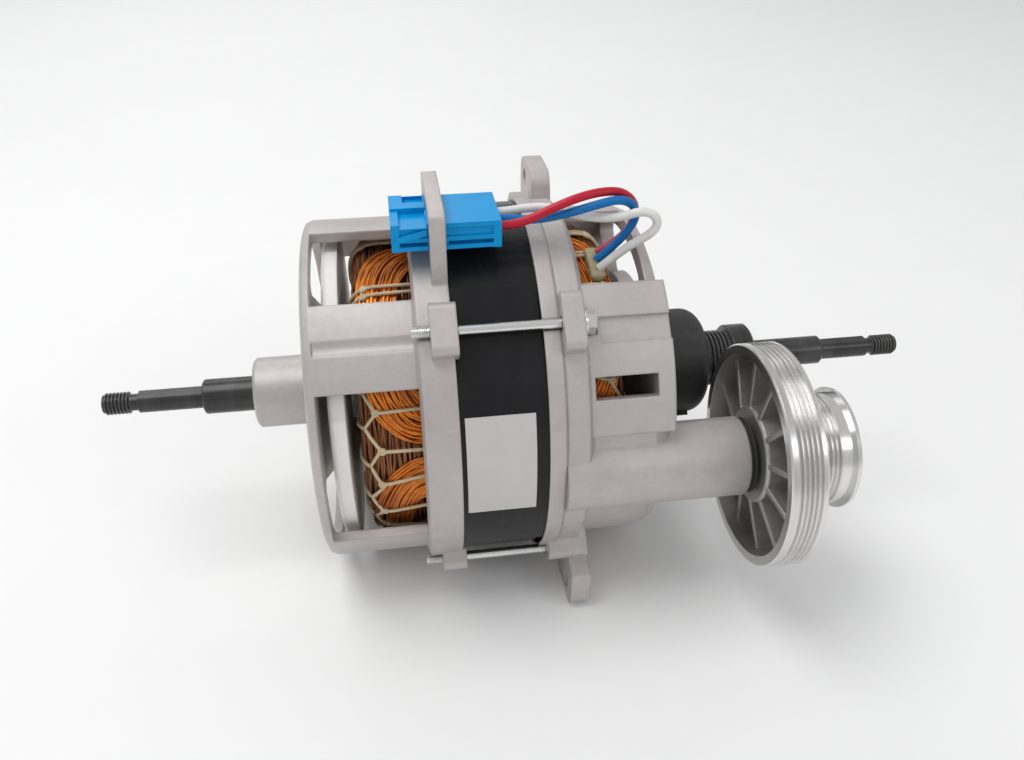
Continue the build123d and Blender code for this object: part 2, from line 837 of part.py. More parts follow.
# Right end bell: turned barrel, two fixing ears, lugs, pads, neck and countershaft tube
with BuildPart() as right_end_bell:
    with BuildSketch(Plane.XZ):
        with BuildLine():
            Polyline(
                (right_rim_edge, 0),
                (right_rim_edge, rim_radius),
                (right_rim_edge + right_rim_step, rim_radius),
                (right_rim_edge + right_rim_step + 0.8, rim_radius - 0.8),
                (right_rim_end - 2.0, rim_radius - 0.8),
                (right_rim_end, bell_radius),
                (right_face - 2 * bell_edge_fillet, bell_radius),
                (right_face - bell_edge_fillet * 0.6, bell_radius - bell_edge_fillet * 0.6),
                (right_face, bell_radius - 2 * bell_edge_fillet),
                (right_face, boss_radius),
                (right_boss_end - 1.0, boss_radius),
                (right_boss_end, boss_radius - 1.0),
                (right_boss_end, neck_radius),
                (right_neck_end - 1.0, neck_radius),
                (right_neck_end, neck_radius - 1.0),
                (right_neck_end, 0),
                close=True,
            )
        make_face()
    revolve(axis=Axis.X)
    with BuildSketch(Plane.YZ.offset(right_rim_edge + right_rim_step)):
        with BuildLine():
            Polyline(sector(boss_radius, bell_radius + pad_height, *pad_angles), close=True)
        make_face()
        Circle(bell_radius + pad_height, mode=Mode.INTERSECT)
    extrude(amount=right_face - right_rim_edge - right_rim_step)
    extrude(
        lug_blocks(right_rim_edge + right_lug_inset, (45.0, 225.0), right_lug_width),
        amount=bolt_seat - right_rim_edge - right_lug_inset,
    )
    extrude(
        lug_blocks(right_rim_edge + ear_lug_setback, ear_angles, lug_width),
        amount=flange_right - right_rim_edge - ear_lug_setback,
    )
    for way in (-1, 1):
        with BuildSketch(Plane.YZ.offset(flange_left)) as ear_outline:
            with BuildLine():
                Polyline(ear_points(way), close=True)
            make_face()
            tip = ear_outline.vertices().sort_by(lambda vertex: way * (vertex.X + vertex.Y))[-1]
            fillet(tip, ear_fillet)
            near_corner = ear_outline.vertices().sort_by(lambda vertex: way * (vertex.Y - vertex.X))[-1]
            fillet(near_corner, ear_near_fillet)
        extrude(amount=flange_thickness)
    with BuildSketch(counter_section.offset(right_rim_edge + right_lug_inset)):
        Circle(tube_radius)
    extrude(amount=tube_end - right_rim_edge - right_lug_inset)
    extrude(
        recess_blocks(flange_right + 1.8, (43.0,), bell_radius),
        amount=right_face + 1 - flange_right - 1.8,
        mode=Mode.SUBTRACT,
    )
    with BuildSketch(Plane.XZ):
        with BuildLine():
            Polyline(
                (right_rim_edge - 1, 0),
                (right_rim_edge - 1, stator_radius + register_gap),
                (stack_end, stator_radius + register_gap),
                (stack_end, cavity_radius),
                (right_face - right_plate, cavity_radius),
                (right_face - right_plate, 0),
                close=True,
            )
        make_face()
    revolve(axis=Axis.X, mode=Mode.SUBTRACT)
    with BuildSketch(Plane.YZ.offset(right_bearing_left + 0.2)):
        Circle(boss_radius)
    extrude(amount=right_face - right_bearing_left - 0.2)
    with BuildSketch(Plane.YZ.offset(right_bearing_left - 1)):
        Circle(main_bearing_outer + bearing_fit)
    extrude(amount=main_bearing_width + 1, mode=Mode.SUBTRACT)
    with BuildSketch(Plane.YZ.offset(right_bearing_right - 1)):
        Circle(pulley_seat_radius + neck_bore_gap)
    extrude(amount=right_neck_end - right_bearing_right + 2, mode=Mode.SUBTRACT)
    with BuildSketch(counter_section.offset(counter_inner_end)):
        Circle(counter_bearing_outer + bearing_fit)
    extrude(amount=tube_end - counter_inner_end + 1, mode=Mode.SUBTRACT)
    with BuildSketch(counter_section.offset(right_face + tube_floor)):
        Circle(countershaft_head_radius + 1.6)
    extrude(amount=counter_inner_end - right_face, mode=Mode.SUBTRACT)
    with BuildSketch(counter_section.offset(retaining_left)):
        Circle(counter_bearing_outer + retaining_ring_groove)
    extrude(amount=retaining_ring_thickness + 0.1, mode=Mode.SUBTRACT)
    extrude(
        window_wedges(right_rim_end, 2 * boss_radius, right_window_angles),
        amount=right_face - right_plate - right_rim_end,
        mode=Mode.SUBTRACT,
    )
    extrude(
        arc_openings(right_face - right_plate - 1, right_face_windows),
        amount=right_plate + 2,
        mode=Mode.SUBTRACT,
    )
    extrude(
        window_wedges(right_face - right_plate - slot_window_length, cavity_radius - 8, (slot_window_angles,)),
        amount=slot_window_length,
        mode=Mode.SUBTRACT,
    )
    extrude(
        bolt_circles(right_rim_edge - 1, bolt_hole_radius),
        amount=bolt_seat - right_rim_edge + 2,
        mode=Mode.SUBTRACT,
    )
    extrude(
        bolt_circles(bolt_seat, bolt_head_radius + 0.6),
        amount=flange_right - bolt_seat + 1,
        mode=Mode.SUBTRACT,
    )
    with BuildSketch(Plane.YZ.offset(flange_left - 1)):
        with Locations((ear_hole_side, ear_hole_height), (-ear_hole_side, -ear_hole_height)):
            Circle(ear_hole_radius)
    extrude(amount=flange_thickness + 2, mode=Mode.SUBTRACT)
save(right_end_bell, "right_end_bell")

# Tie bolts: four long flange head bolts through the right bell into the left one
bolt_left = left_lug_face - bolt_tip_length
bolt_thread_end = left_bolt_lug + 0.5
with BuildPart() as tie_bolts:
    for angle in bolt_angles:
        y, z = corner(bolt_circle_radius, angle)
        bolt_profile = Plane(origin=(0, y, z), x_dir=(1, 0, 0), z_dir=(0, -1, 0))
        threads = int((bolt_thread_end - bolt_left - 0.5) / bolt_thread_pitch)
        crest = bolt_thread_radius
        root = bolt_thread_radius - 0.38
        outline = [(bolt_left, 0), (bolt_left, root)]
        for index in range(threads):
            left = bolt_left + 0.4 + index * bolt_thread_pitch
            outline.append((left, root))
            outline.append((left + 0.3, crest))
            outline.append((left + 0.4, crest))
        outline += [
            (bolt_thread_end, root),
            (bolt_thread_end, bolt_shank_radius),
            (bolt_seat, bolt_shank_radius),
            (bolt_seat, bolt_head_radius),
            (bolt_seat + bolt_head_flange, bolt_head_radius - 0.3),
            (bolt_seat + bolt_head_flange, 0),
        ]
        with BuildSketch(bolt_profile):
            with BuildLine():
                Polyline(outline, close=True)
            make_face()
        revolve(axis=Axis((0, y, z), (1, 0, 0)))
        with BuildSketch(Plane(origin=(bolt_seat, y, z), x_dir=(0, 1, 0), z_dir=(1, 0, 0))):
            RegularPolygon(bolt_hex_flats / 2, 6, major_radius=False)
        extrude(amount=bolt_head_height)
save(tie_bolts, "tie_bolts")

# Cooling fan: moulded cup with a band, a web, a hub and blades
fan_band_right = left_bearing_right + fan_gap + fan_web
fan_band_left = fan_band_right - fan_band_length
with BuildPart() as cooling_fan:
    with BuildSketch(Plane.XZ):
        with BuildLine():
            Polyline(
                (fan_band_left, fan_radius - fan_band_wall),
                (fan_band_left, fan_radius),
                (fan_band_right, fan_radius),
                (fan_band_right, fan_hub_radius),
                (fan_band_right + fan_hub_length, fan_hub_radius - 1),
                (fan_band_right + fan_hub_length, shaft_body_radius),
                (fan_band_right - fan_web, shaft_body_radius),
                (fan_band_right - fan_web, fan_radius - fan_band_wall),
                close=True,
            )
        fan_section = make_face()
        edge_corner = fan_section.vertices().sort_by(lambda vertex: vertex.X - vertex.Y)[0]
        fillet(edge_corner, fan_edge_fillet)
    revolve(axis=Axis.X)
    with BuildSketch(Plane.YZ.offset(fan_band_left + 0.8)):
        with PolarLocations((fan_blade_inner + fan_radius - fan_band_wall) / 2, fan_blade_count):
            Rectangle(fan_radius - fan_blade_inner, fan_blade_width)
        Circle(fan_radius - fan_band_wall / 2, mode=Mode.INTERSECT)
    extrude(amount=fan_band_length - fan_web)
save(cooling_fan, "cooling_fan")

# Motor pulley: grooved end for the first belt and a plain collar
with BuildPart() as motor_pulley:
    with BuildSketch(Plane.XZ):
        with BuildLine():
            motor_rib_end = motor_rib_start + motor_pulley_rib_count * rib_pitch
            outline = [
                (motor_rib_start - motor_pulley_lead, pulley_seat_radius),
                (motor_rib_start - motor_pulley_lead, motor_pulley_radius),
            ]
            outline += ribbed(
                motor_rib_start, motor_pulley_rib_count, motor_pulley_radius,
                motor_pulley_radius - rib_depth, rib_pitch,
            )
            outline += [
                (motor_rib_end + motor_pulley_land, motor_pulley_radius),
                (motor_rib_end + motor_pulley_land, collar_radius - 0.6),
                (motor_rib_end + motor_pulley_land + 0.6, collar_radius),
                (motor_pulley_right - 0.8, collar_radius),
                (motor_pulley_right, collar_radius - 0.8),
                (motor_pulley_right, pulley_seat_radius),
            ]
            Polyline(outline, close=True)
        make_face()
    revolve(axis=Axis.X)
save(motor_pulley, "motor_pulley")

# Rubber mounting ring on the right neck
ring_right = right_neck_end + ring_overhang
with BuildPart() as rubber_ring:
    with BuildSketch(Plane.XZ):
        with BuildLine():
            Polyline(
                (right_boss_end, neck_radius),
                (right_boss_end, ring_radius),
                (ring_right, ring_radius),
                (ring_right, neck_radius),
                close=True,
            )
        ring_section = make_face()
        ring_corner = ring_section.vertices().sort_by(lambda vertex: vertex.X + vertex.Y)[-1]
        fillet(ring_corner, ring_fillet)
    revolve(axis=Axis.X)
    with BuildSketch(Plane.YZ.offset(right_boss_end)):
        with Locations(Location((*corner(ring_radius - 1.5 + ring_key_height / 2, -57.0), 0), 180 + 57.0)):
            Rectangle(3.0 + ring_key_height, ring_key_width)
    extrude(amount=ring_right - right_boss_end - ring_fillet)
save(rubber_ring, "rubber_ring")

# Countershaft: headed pin, bearing seats, pulley seat and thread
pulley_hub_left = pulley_left + pulley_hub_inset
drum_left = pulley_left + rim_width
drum_right = drum_left + drum_width
drum_hub_end = drum_right - drum_hub_recess
counter_thread_start = drum_hub_end + pulley_washer_thickness + 0.2
counter_end = counter_thread_start + nut_height + 1.0
with BuildPart() as countershaft:
    with BuildSketch(counter_profile):
        with BuildLine():
            Polyline(
                (counter_inner_end - countershaft_head, 0),
                (counter_inner_end - countershaft_head, countershaft_head_radius),
                (counter_inner_end, countershaft_head_radius),
                (counter_inner_end, countershaft_radius),
                (drum_hub_end, countershaft_radius),
                (drum_hub_end, thread_radius),
                (counter_end - 0.7, thread_radius),
                (counter_end, thread_radius - 0.7),
                (counter_end, 0),
                close=True,
            )
        make_face()
    revolve(axis=counter_axis)
save(countershaft, "countershaft")

# Spacer sleeve between the two countershaft bearings
with BuildPart() as bearing_spacer:
    with BuildSketch(counter_section.offset(counter_bearing_1 + counter_bearing_width)):
        Circle(spacer_radius)
        Circle(countershaft_radius, mode=Mode.SUBTRACT)
    extrude(amount=counter_bearing_spread)
save(bearing_spacer, "bearing_spacer")

# Retaining ring: open spring ring with two ears, snapped into the tube
with BuildPart() as retaining_ring:
    with BuildSketch(counter_section.offset(retaining_left)):
        Circle(counter_bearing_outer + retaining_ring_groove - 0.05)
        Circle(counter_bearing_outer - 1.4, mode=Mode.SUBTRACT)
        with Locations((0, -counter_bearing_outer)):
            Rectangle(4.0, 4.0, mode=Mode.SUBTRACT)
        for way in (-1, 1):
            with Locations((way * 3.2, -counter_bearing_outer + 1.4)):
                Circle(1.3)
                Circle(0.6, mode=Mode.SUBTRACT)
    extrude(amount=retaining_ring_thickness)
save(retaining_ring, "retaining_ring")

# Seal washer: black disc on the countershaft that covers the tube's mouth
seal_left = tube_end + seal_gap
with BuildPart() as tube_seal:
    with BuildSketch(counter_profile):
        with BuildLine():
            Polyline(
                (retaining_left, countershaft_radius),
                (retaining_left, spacer_radius),
                (seal_left, spacer_radius),
                (seal_left, seal_radius),
                (seal_left + 0.6, seal_radius),
                (seal_left + 0.9, seal_radius - 0.7),
                (seal_left + 1.2, seal_radius - 0.7),
                (seal_left + 1.5, seal_radius),
                (seal_left + seal_thickness, seal_radius),
                (seal_left + seal_thickness, spacer_radius + 2),
                (pulley_hub_left, spacer_radius + 2),
                (pulley_hub_left, countershaft_radius),
                close=True,
            )
        make_face()
    revolve(axis=counter_axis)
save(tube_seal, "tube_seal")

# Drive pulley: one casting with a wide ribbed rim and a small drum belt step
rim_right = drum_left
web_left = rim_right - web_thickness
drum_rib_start = drum_right - drum_flange - drum_land - drum_rib_count * rib_pitch
drum_cup_left = web_left + web_thickness + 2.0
with BuildPart() as drive_pulley:
    with BuildSketch(counter_profile):
        with BuildLine():
            outline = [
                (pulley_left, rim_inner_radius),
                (pulley_left, rim_outer_radius - 0.5),
                (pulley_left + 0.5, rim_outer_radius),
            ]
            outline += ribbed(
                rim_rib_start, rim_rib_count, rim_outer_radius, rim_outer_radius - rib_depth, rib_pitch
            )
            outline += [
                (rim_right - 0.5, rim_outer_radius),
                (rim_right, rim_outer_radius - 0.5),
                (rim_right, drum_radius),
            ]
            outline += ribbed(
                drum_rib_start, drum_rib_count, drum_radius, drum_radius - rib_depth, rib_pitch
            )
            outline += [
                (drum_right - drum_flange, drum_radius),
                (drum_right - drum_flange, drum_flange_radius),
                (drum_right, drum_flange_radius - 0.3),
                (drum_right, drum_radius - drum_wall),
                (drum_cup_left, drum_radius - drum_wall - 0.8),
                (drum_cup_left, drum_hub_radius + 0.6),
                (drum_hub_end, drum_hub_radius),
                (drum_hub_end, countershaft_radius),
                (pulley_hub_left, countershaft_radius),
                (pulley_hub_left, pulley_hub_radius - 0.8),
                (pulley_hub_left + 0.8, pulley_hub_radius),
                (web_left, pulley_hub_radius + 0.8),
                (web_left, rim_inner_radius - 1.0),
            ]
            Polyline(outline, close=True)
        make_face()
    revolve(axis=counter_axis)
    for index in range(pocket_rib_count):
        turn = radians(360 * index / pocket_rib_count + 8)
        rib_plane = Plane(
            origin=(0, counter_y, counter_z), x_dir=(1, 0, 0), z_dir=(0, cos(turn), sin(turn))
        )
        with BuildSketch(rib_plane):
            with BuildLine():
                Polyline(
                    (web_left + 0.6, pulley_hub_radius - 0.6),
                    (pulley_left + pocket_rib_inset - pocket_rib_rise, pulley_hub_radius - 0.6),
                    (pulley_left + pocket_rib_inset, rim_inner_radius + 0.6),
                    (web_left + 0.6, rim_inner_radius + 0.6),
                    close=True,
                )
            make_face()
        extrude(amount=pocket_rib_width / 2, both=True)
save(drive_pulley, "drive_pulley")

# Washer and nut that hold the drive pulley
with BuildPart() as pulley_washer:
    with BuildSketch(counter_section.offset(drum_hub_end)):
        Circle(pulley_washer_radius)
        Circle(thread_radius + 0.2, mode=Mode.SUBTRACT)
    extrude(amount=pulley_washer_thickness)
save(pulley_washer, "pulley_washer")

with BuildPart() as pulley_nut:
    with BuildSketch(counter_section.offset(drum_hub_end + pulley_washer_thickness)):
        RegularPolygon(nut_flats / 2, 6, major_radius=False)
        Circle(thread_radius + nut_gap, mode=Mode.SUBTRACT)
    extrude(amount=nut_height)
save(pulley_nut, "pulley_nut")

# Connector housing: flat three-way socket through the bracket, open at its left end
connector_left_end = bracket_left - connector_left + bracket_thickness
connector_right_end = bracket_right + connector_right
connector_length = connector_right_end - connector_left_end
circuit_places = [connector_y + (index - 1) * circuit_pitch for index in range(circuit_count)]
with BuildPart() as connector_housing:
    with BuildSketch(Plane.YZ.offset(connector_left_end)):
        with Locations((connector_y, connector_z)):
            RectangleRounded(connector_width, connector_height, 0.6)
    extrude(amount=connector_length)
    for start, end in ((connector_left_end, bracket_left - 0.1), (bracket_right + 0.1, connector_right_end)):
        with BuildSketch(Plane.YZ.offset(start)):
            with Locations((connector_y, connector_z + connector_height / 2 - 0.8)):
                Rectangle(connector_width + 2 * connector_step, 1.6)
            for height in (-0.6, -3.4):
                with Locations((connector_y, connector_z + height)):
                    Rectangle(connector_width + 2 * connector_step, 1.4)
        extrude(amount=end - start)
    for start, depth in ((connector_left_end, connector_flange), (connector_right_end, -connector_flange)):
        with BuildSketch(Plane.YZ.offset(start)):
            with Locations((connector_y, connector_z)):
                RectangleRounded(connector_width + 2 * connector_step, connector_height, 0.5)
        extrude(amount=depth)
    with BuildSketch(Plane.YZ.offset(connector_left_end)):
        with Locations((connector_y + connector_width / 4, connector_z + connector_height / 2)):
            Rectangle(connector_width / 2, 2 * connector_step)
    extrude(amount=bracket_left - 0.1 - connector_left_end)
    cut_start = connector_left_end + connector_flange
    cut_end = bracket_left - 0.6
    with BuildSketch(Plane.YZ.offset(cut_start)):
        with Locations((connector_y - connector_width / 4 - 1, connector_z + connector_height / 2)):
            Rectangle(connector_width / 2 + 2, 2 * connector_drop)
    extrude(amount=cut_end - cut_start, mode=Mode.SUBTRACT)
    with BuildSketch(Plane.YZ.offset(cut_start + 1.8)):
        with Locations((connector_y + connector_width / 2 - 3, connector_z + connector_height / 2)):
            Rectangle(7.0, 2 * connector_drop)
    extrude(amount=cut_end - cut_start - 1.8, mode=Mode.SUBTRACT)
    for start, end in ((cut_start, cut_end), (bracket_right + 1.2, connector_right_end - connector_flange)):
        with BuildSketch(Plane.YZ.offset(start)):
            for side in (-1, 1):
                with Locations((connector_y + side * connector_width / 2, connector_z - 2.0)):
                    Rectangle(2 * connector_slot_depth, connector_slot_height)
        extrude(amount=end - start, mode=Mode.SUBTRACT)
    with BuildSketch(Plane.XZ.offset(connector_front)):
        Polygon(
            (connector_left_end + 1.2, connector_z - 1.4),
            (cut_end, connector_z + 1.0),
            (cut_end, connector_z + 2.8),
            (connector_left_end + 1.2, connector_z + 0.4),
            align=None,
        )
    extrude(amount=connector_latch_out)
    with BuildSketch(Plane.YZ.offset(connector_left_end)):
        for y in circuit_places:
            with Locations((y, connector_z)):
                Rectangle(socket_width, socket_height)
    extrude(amount=connector_length - connector_floor, mode=Mode.SUBTRACT)
    with BuildSketch(Plane.YZ.offset(connector_right_end)):
        for y in circuit_places:
            with Locations((y, connector_z)):
                Circle(lead_diameter / 2 + 0.1)
    extrude(amount=-lead_seat_depth - 0.1, mode=Mode.SUBTRACT)
    with BuildSketch(Plane.YZ.offset(connector_right_end - lead_seat_depth)):
        for y in circuit_places:
            with Locations((y, connector_z)):
                Rectangle(terminal_width + 0.04, terminal_height + 0.04)
    extrude(amount=-connector_floor, mode=Mode.SUBTRACT)
save(connector_housing, "connector_housing")

# Connector terminals: brass tabs held in the housing's floor
with BuildPart() as connector_terminals:
    with BuildSketch(Plane.YZ.offset(connector_right_end - lead_seat_depth - 0.1)):
        for y in circuit_places:
            with Locations((y, connector_z)):
                Rectangle(terminal_width, terminal_height)
    extrude(amount=-connector_length + 8.0)
save(connector_terminals, "connector_terminals")


def lead_radii(points):
    """Bend radius at each inner point: 0.45 of the shorter run over the tangent of half the turn."""
    radii = []
    for index in range(1, len(points) - 1):
        before = Vector(*points[index]) - Vector(*points[index - 1])
        after = Vector(*points[index + 1]) - Vector(*points[index])
        turn = radians(before.get_angle(after))
        radii.append(0.45 * min(before.length, after.length) / tan(turn / 2))
    return radii


# Leads: from the connector's right end, over the right bell and in through its top window
lead_start = connector_right_end - lead_seat_depth
lead_bend_start = lead_start + 5.8
lead_routes = {
    "lead_red": (
        (lead_start, circuit_places[0], connector_z), (lead_bend_start, circuit_places[0], connector_z),
        (13.0, -22.4, 71.0), (20.4, -21.6, 74.0), (28.4, -21.0, 76.9), (36.6, -19.4, 78.0),
        (44.0, -17.2, 77.0), (49.4, -15.0, 72.2), (50.4, -13.6, 65.4), (46.8, -12.8, 59.3),
        (42.0, -13.0, 56.0), (38.0, -13.4, 53.8),
    ),
    "lead_blue": (
        (lead_start, circuit_places[1], connector_z), (lead_bend_start, circuit_places[1], connector_z),
        (13.6, -18.0, 69.2), (20.8, -19.2, 70.2), (28.6, -21.0, 72.6), (36.2, -21.8, 74.9),
        (42.6, -21.2, 75.9), (48.0, -19.2, 73.2), (49.8, -17.2, 67.4), (46.4, -16.6, 61.4),
        (41.8, -16.8, 57.0), (37.0, -17.0, 53.0),
    ),
    "lead_white": (
        (lead_start, circuit_places[2], connector_z), (lead_bend_start, circuit_places[2], connector_z),
        (14.4, -12.4, 71.2), (21.6, -14.2, 71.6), (29.4, -17.2, 69.6), (36.8, -20.6, 69.4),
        (43.4, -23.6, 70.8), (48.2, -25.2, 73.0), (52.4, -26.2, 72.6), (54.6, -26.4, 69.2),
        (52.6, -25.8, 65.4), (48.0, -23.4, 61.6), (42.8, -21.4, 56.8), (37.2, -20.6, 51.6),
    ),
}
for lead_name, lead_points in lead_routes.items():
    radii = lead_radii(lead_points)
    print(lead_name, "radii", [round(value, 1) for value in radii])
    with BuildPart() as lead:
        with BuildLine() as lead_path:
            FilletPolyline(*lead_points, radius=radii)
        with BuildSketch(lead_path.line ^ 0):
            Circle(lead_diameter / 2)
        sweep()
    print("length", round(path_length(lead_path), 1), "volume", round(lead.part.volume, 1),
          "section times length", round(pi * lead_diameter ** 2 / 4 * path_length(lead_path), 1))
    save(lead, lead_name)

# Lead splice: wrapped joint of the leads and the winding's ends, laced on the right bundle
splice_floor = bundle_outer_radius + turn_gap + turn_diameter + 0.05
splice_y, splice_z = corner(splice_floor + splice_height / 2, splice_angle)
with BuildPart() as lead_splice:
    with BuildSketch(
        Plane(
            origin=(splice_station, splice_y, splice_z),
            x_dir=(1, 0, 0),
            z_dir=(0, splice_y, splice_z),
        )
    ):
        RectangleRounded(splice_width, splice_length, 2.0)
    extrude(amount=splice_height / 2, both=True)
save(lead_splice, "lead_splice")

# Rating plate: thin curved sheet on the front of the stator, left blank
plate_inner = stator_radius + plate_gap
with BuildPart() as rating_plate:
    with BuildSketch(Plane.YZ.offset(-plate_left)):
        Circle(plate_inner + plate_thickness)
        Circle(plate_inner, mode=Mode.SUBTRACT)
        with BuildLine():
            Polyline(sector(5.0, stator_radius + 6, *plate_angles), close=True)
        make_face(mode=Mode.INTERSECT)
    extrude(amount=plate_left + plate_right)
save(rating_plate, "rating_plate")
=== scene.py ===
"""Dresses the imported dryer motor: finishes, wound wire, lacing, leads and a pale studio."""

import math
import random

import bmesh
import bpy
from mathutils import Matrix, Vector


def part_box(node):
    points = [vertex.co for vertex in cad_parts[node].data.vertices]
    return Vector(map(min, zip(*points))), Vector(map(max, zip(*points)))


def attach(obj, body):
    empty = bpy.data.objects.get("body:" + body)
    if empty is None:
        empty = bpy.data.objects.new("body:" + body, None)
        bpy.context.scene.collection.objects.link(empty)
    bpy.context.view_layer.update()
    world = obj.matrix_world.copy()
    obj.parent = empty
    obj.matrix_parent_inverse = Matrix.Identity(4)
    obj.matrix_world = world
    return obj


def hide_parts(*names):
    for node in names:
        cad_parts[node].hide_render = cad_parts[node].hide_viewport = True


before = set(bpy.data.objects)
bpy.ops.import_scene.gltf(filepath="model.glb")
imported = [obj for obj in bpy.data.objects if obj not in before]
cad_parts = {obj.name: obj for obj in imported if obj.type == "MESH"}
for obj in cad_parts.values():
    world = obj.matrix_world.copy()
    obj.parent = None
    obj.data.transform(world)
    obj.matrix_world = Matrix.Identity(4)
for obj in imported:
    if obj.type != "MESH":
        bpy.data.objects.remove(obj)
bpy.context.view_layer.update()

bl_info = {
    "name": "Dryer Motor Dressing",
    "version": (1, 0, 0),
    "blender": (4, 5, 0),
    "location": "View3D > Sidebar > Motor",
    "description": "Adds finishes, wire, lacing, leads and a studio to the dryer motor's solids",
    "category": "Object",
}

MM = 0.001

# The stack's middle and the countershaft's axis, in millimetres, from the frame
STACK_LOW, STACK_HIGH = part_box("stator_core")
WINDING_LOW, WINDING_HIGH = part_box("stator_winding")
COUNTERSHAFT_LOW, COUNTERSHAFT_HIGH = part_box("countershaft")
SPLICE_LOW, SPLICE_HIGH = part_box("lead_splice")
STACK_X = round((STACK_LOW.x + STACK_HIGH.x) / 2 / MM, 1)
COUNTER_Y = round((COUNTERSHAFT_LOW.y + COUNTERSHAFT_HIGH.y) / 2 / MM, 3)
COUNTER_Z = round((COUNTERSHAFT_LOW.z + COUNTERSHAFT_HIGH.z) / 2 / MM, 3)

# An end bundle: its start and radii, and each side's length, in millimetres
BUNDLE_START = 22.5
BUNDLE_INNER = 37.4
BUNDLE_OUTER = round(WINDING_HIGH.z / MM, 1)
BUNDLE_FILLET = 5.0
BUNDLE_GAP = 0.6
LEFT_BUNDLE = round(STACK_X - WINDING_LOW.x / MM - BUNDLE_START, 1)
RIGHT_BUNDLE = round(WINDING_HIGH.x / MM - STACK_X - BUNDLE_START, 1)
BUNDLES = ((-1, LEFT_BUNDLE, "left"), (1, RIGHT_BUNDLE, "right"))

# The joint between the leads and the winding, in millimetres and degrees
SPLICE_X = round((SPLICE_LOW.x + SPLICE_HIGH.x) / 2 / MM - STACK_X, 1)
SPLICE_HALF_WIDTH = round((SPLICE_HIGH.x - SPLICE_LOW.x) / 2 / MM, 1)
SPLICE_HALF_HEIGHT = 1.8
SPLICE_RADIUS = 54.25
SPLICE_ANGLE = 64.2
SPLICE_SWEEP = 15.6


def place(x, y, z):
    """A point given in millimetres from the middle of the stack, in metres in the row frame."""
    return Vector(((x + STACK_X) * MM, y * MM, z * MM))


def on_circle(x, radius, turn):
    """A point at a station, a radius and a turn in radians, in the row frame."""
    return place(x, -radius * math.cos(turn), radius * math.sin(turn))


def around(x, radius, angle):
    """A point at a station, a radius and an angle in degrees, in the row frame."""
    return on_circle(x, radius, math.radians(angle))


def between(first, second, share):
    """The pair of values that lies a share of the way from one pair to another."""
    return tuple(start + (end - start) * share for start, end in zip(first, second))


# Shader groups

def group_tree(name, inputs, outputs):
    """An empty shader group with its sockets, and its input and output nodes."""
    tree = bpy.data.node_groups.new(name, "ShaderNodeTree")
    for label, kind, default in inputs:
        socket = tree.interface.new_socket(name=label, in_out="INPUT", socket_type=kind)
        socket.default_value = default
    for label, kind in outputs:
        tree.interface.new_socket(name=label, in_out="OUTPUT", socket_type=kind)
    return tree, tree.nodes.new("NodeGroupInput"), tree.nodes.new("NodeGroupOutput")


def math_node(tree, operation, *values):
    """A Math node whose inputs are sockets or numbers."""
    node = tree.nodes.new("ShaderNodeMath")
    node.operation = operation
    for socket, value in zip(node.inputs, values):
        if isinstance(value, (int, float)):
            socket.default_value = value
        else:
            tree.links.new(value, socket)
    return node.outputs[0]


def noise_node(tree, coordinate, scale, detail, roughness=0.55):
    """A Noise node on the object's own coordinates."""
    node = tree.nodes.new("ShaderNodeTexNoise")
    node.inputs["Detail"].default_value = detail
    node.inputs["Roughness"].default_value = roughness
    if isinstance(scale, (int, float)):
        node.inputs["Scale"].default_value = scale
    else:
        tree.links.new(scale, node.inputs["Scale"])
    tree.links.new(coordinate, node.inputs["Vector"])
    return node.outputs["Fac"]


def object_coordinate(tree):
    """The coordinate socket that stays with the piece."""
    return tree.nodes.new("ShaderNodeTexCoord").outputs["Object"]


def cast_relief_group():
    """Pits and soft waves of a cast or moulded skin."""
    fine_scale = 7.3
    slow_scale = 0.13
    slow_share = 0.6
    tree, entry, leave = group_tree(
        "Cast relief",
        [
            ("Scale", "NodeSocketFloat", 300.0),
            ("Coarse", "NodeSocketFloat", 0.6),
            ("Fine", "NodeSocketFloat", 0.4),
        ],
        [("Height", "NodeSocketFloat"), ("Tone", "NodeSocketFloat")],
    )
    spot = object_coordinate(tree)
    scale = entry.outputs["Scale"]
    coarse = noise_node(tree, spot, scale, 2.0)
    fine = noise_node(tree, spot, math_node(tree, "MULTIPLY", scale, fine_scale), 3.0)
    slow = noise_node(tree, spot, math_node(tree, "MULTIPLY", scale, slow_scale), 2.0)
    waves = math_node(tree, "MULTIPLY", coarse, entry.outputs["Coarse"])
    pits = math_node(tree, "MULTIPLY", fine, entry.outputs["Fine"])
    tree.links.new(math_node(tree, "ADD", waves, pits), leave.inputs["Height"])
    slow_tone = math_node(tree, "MULTIPLY", slow, slow_share)
    coarse_tone = math_node(tree, "MULTIPLY", coarse, 1 - slow_share)
    tree.links.new(math_node(tree, "ADD", slow_tone, coarse_tone), leave.inputs["Tone"])
    return tree


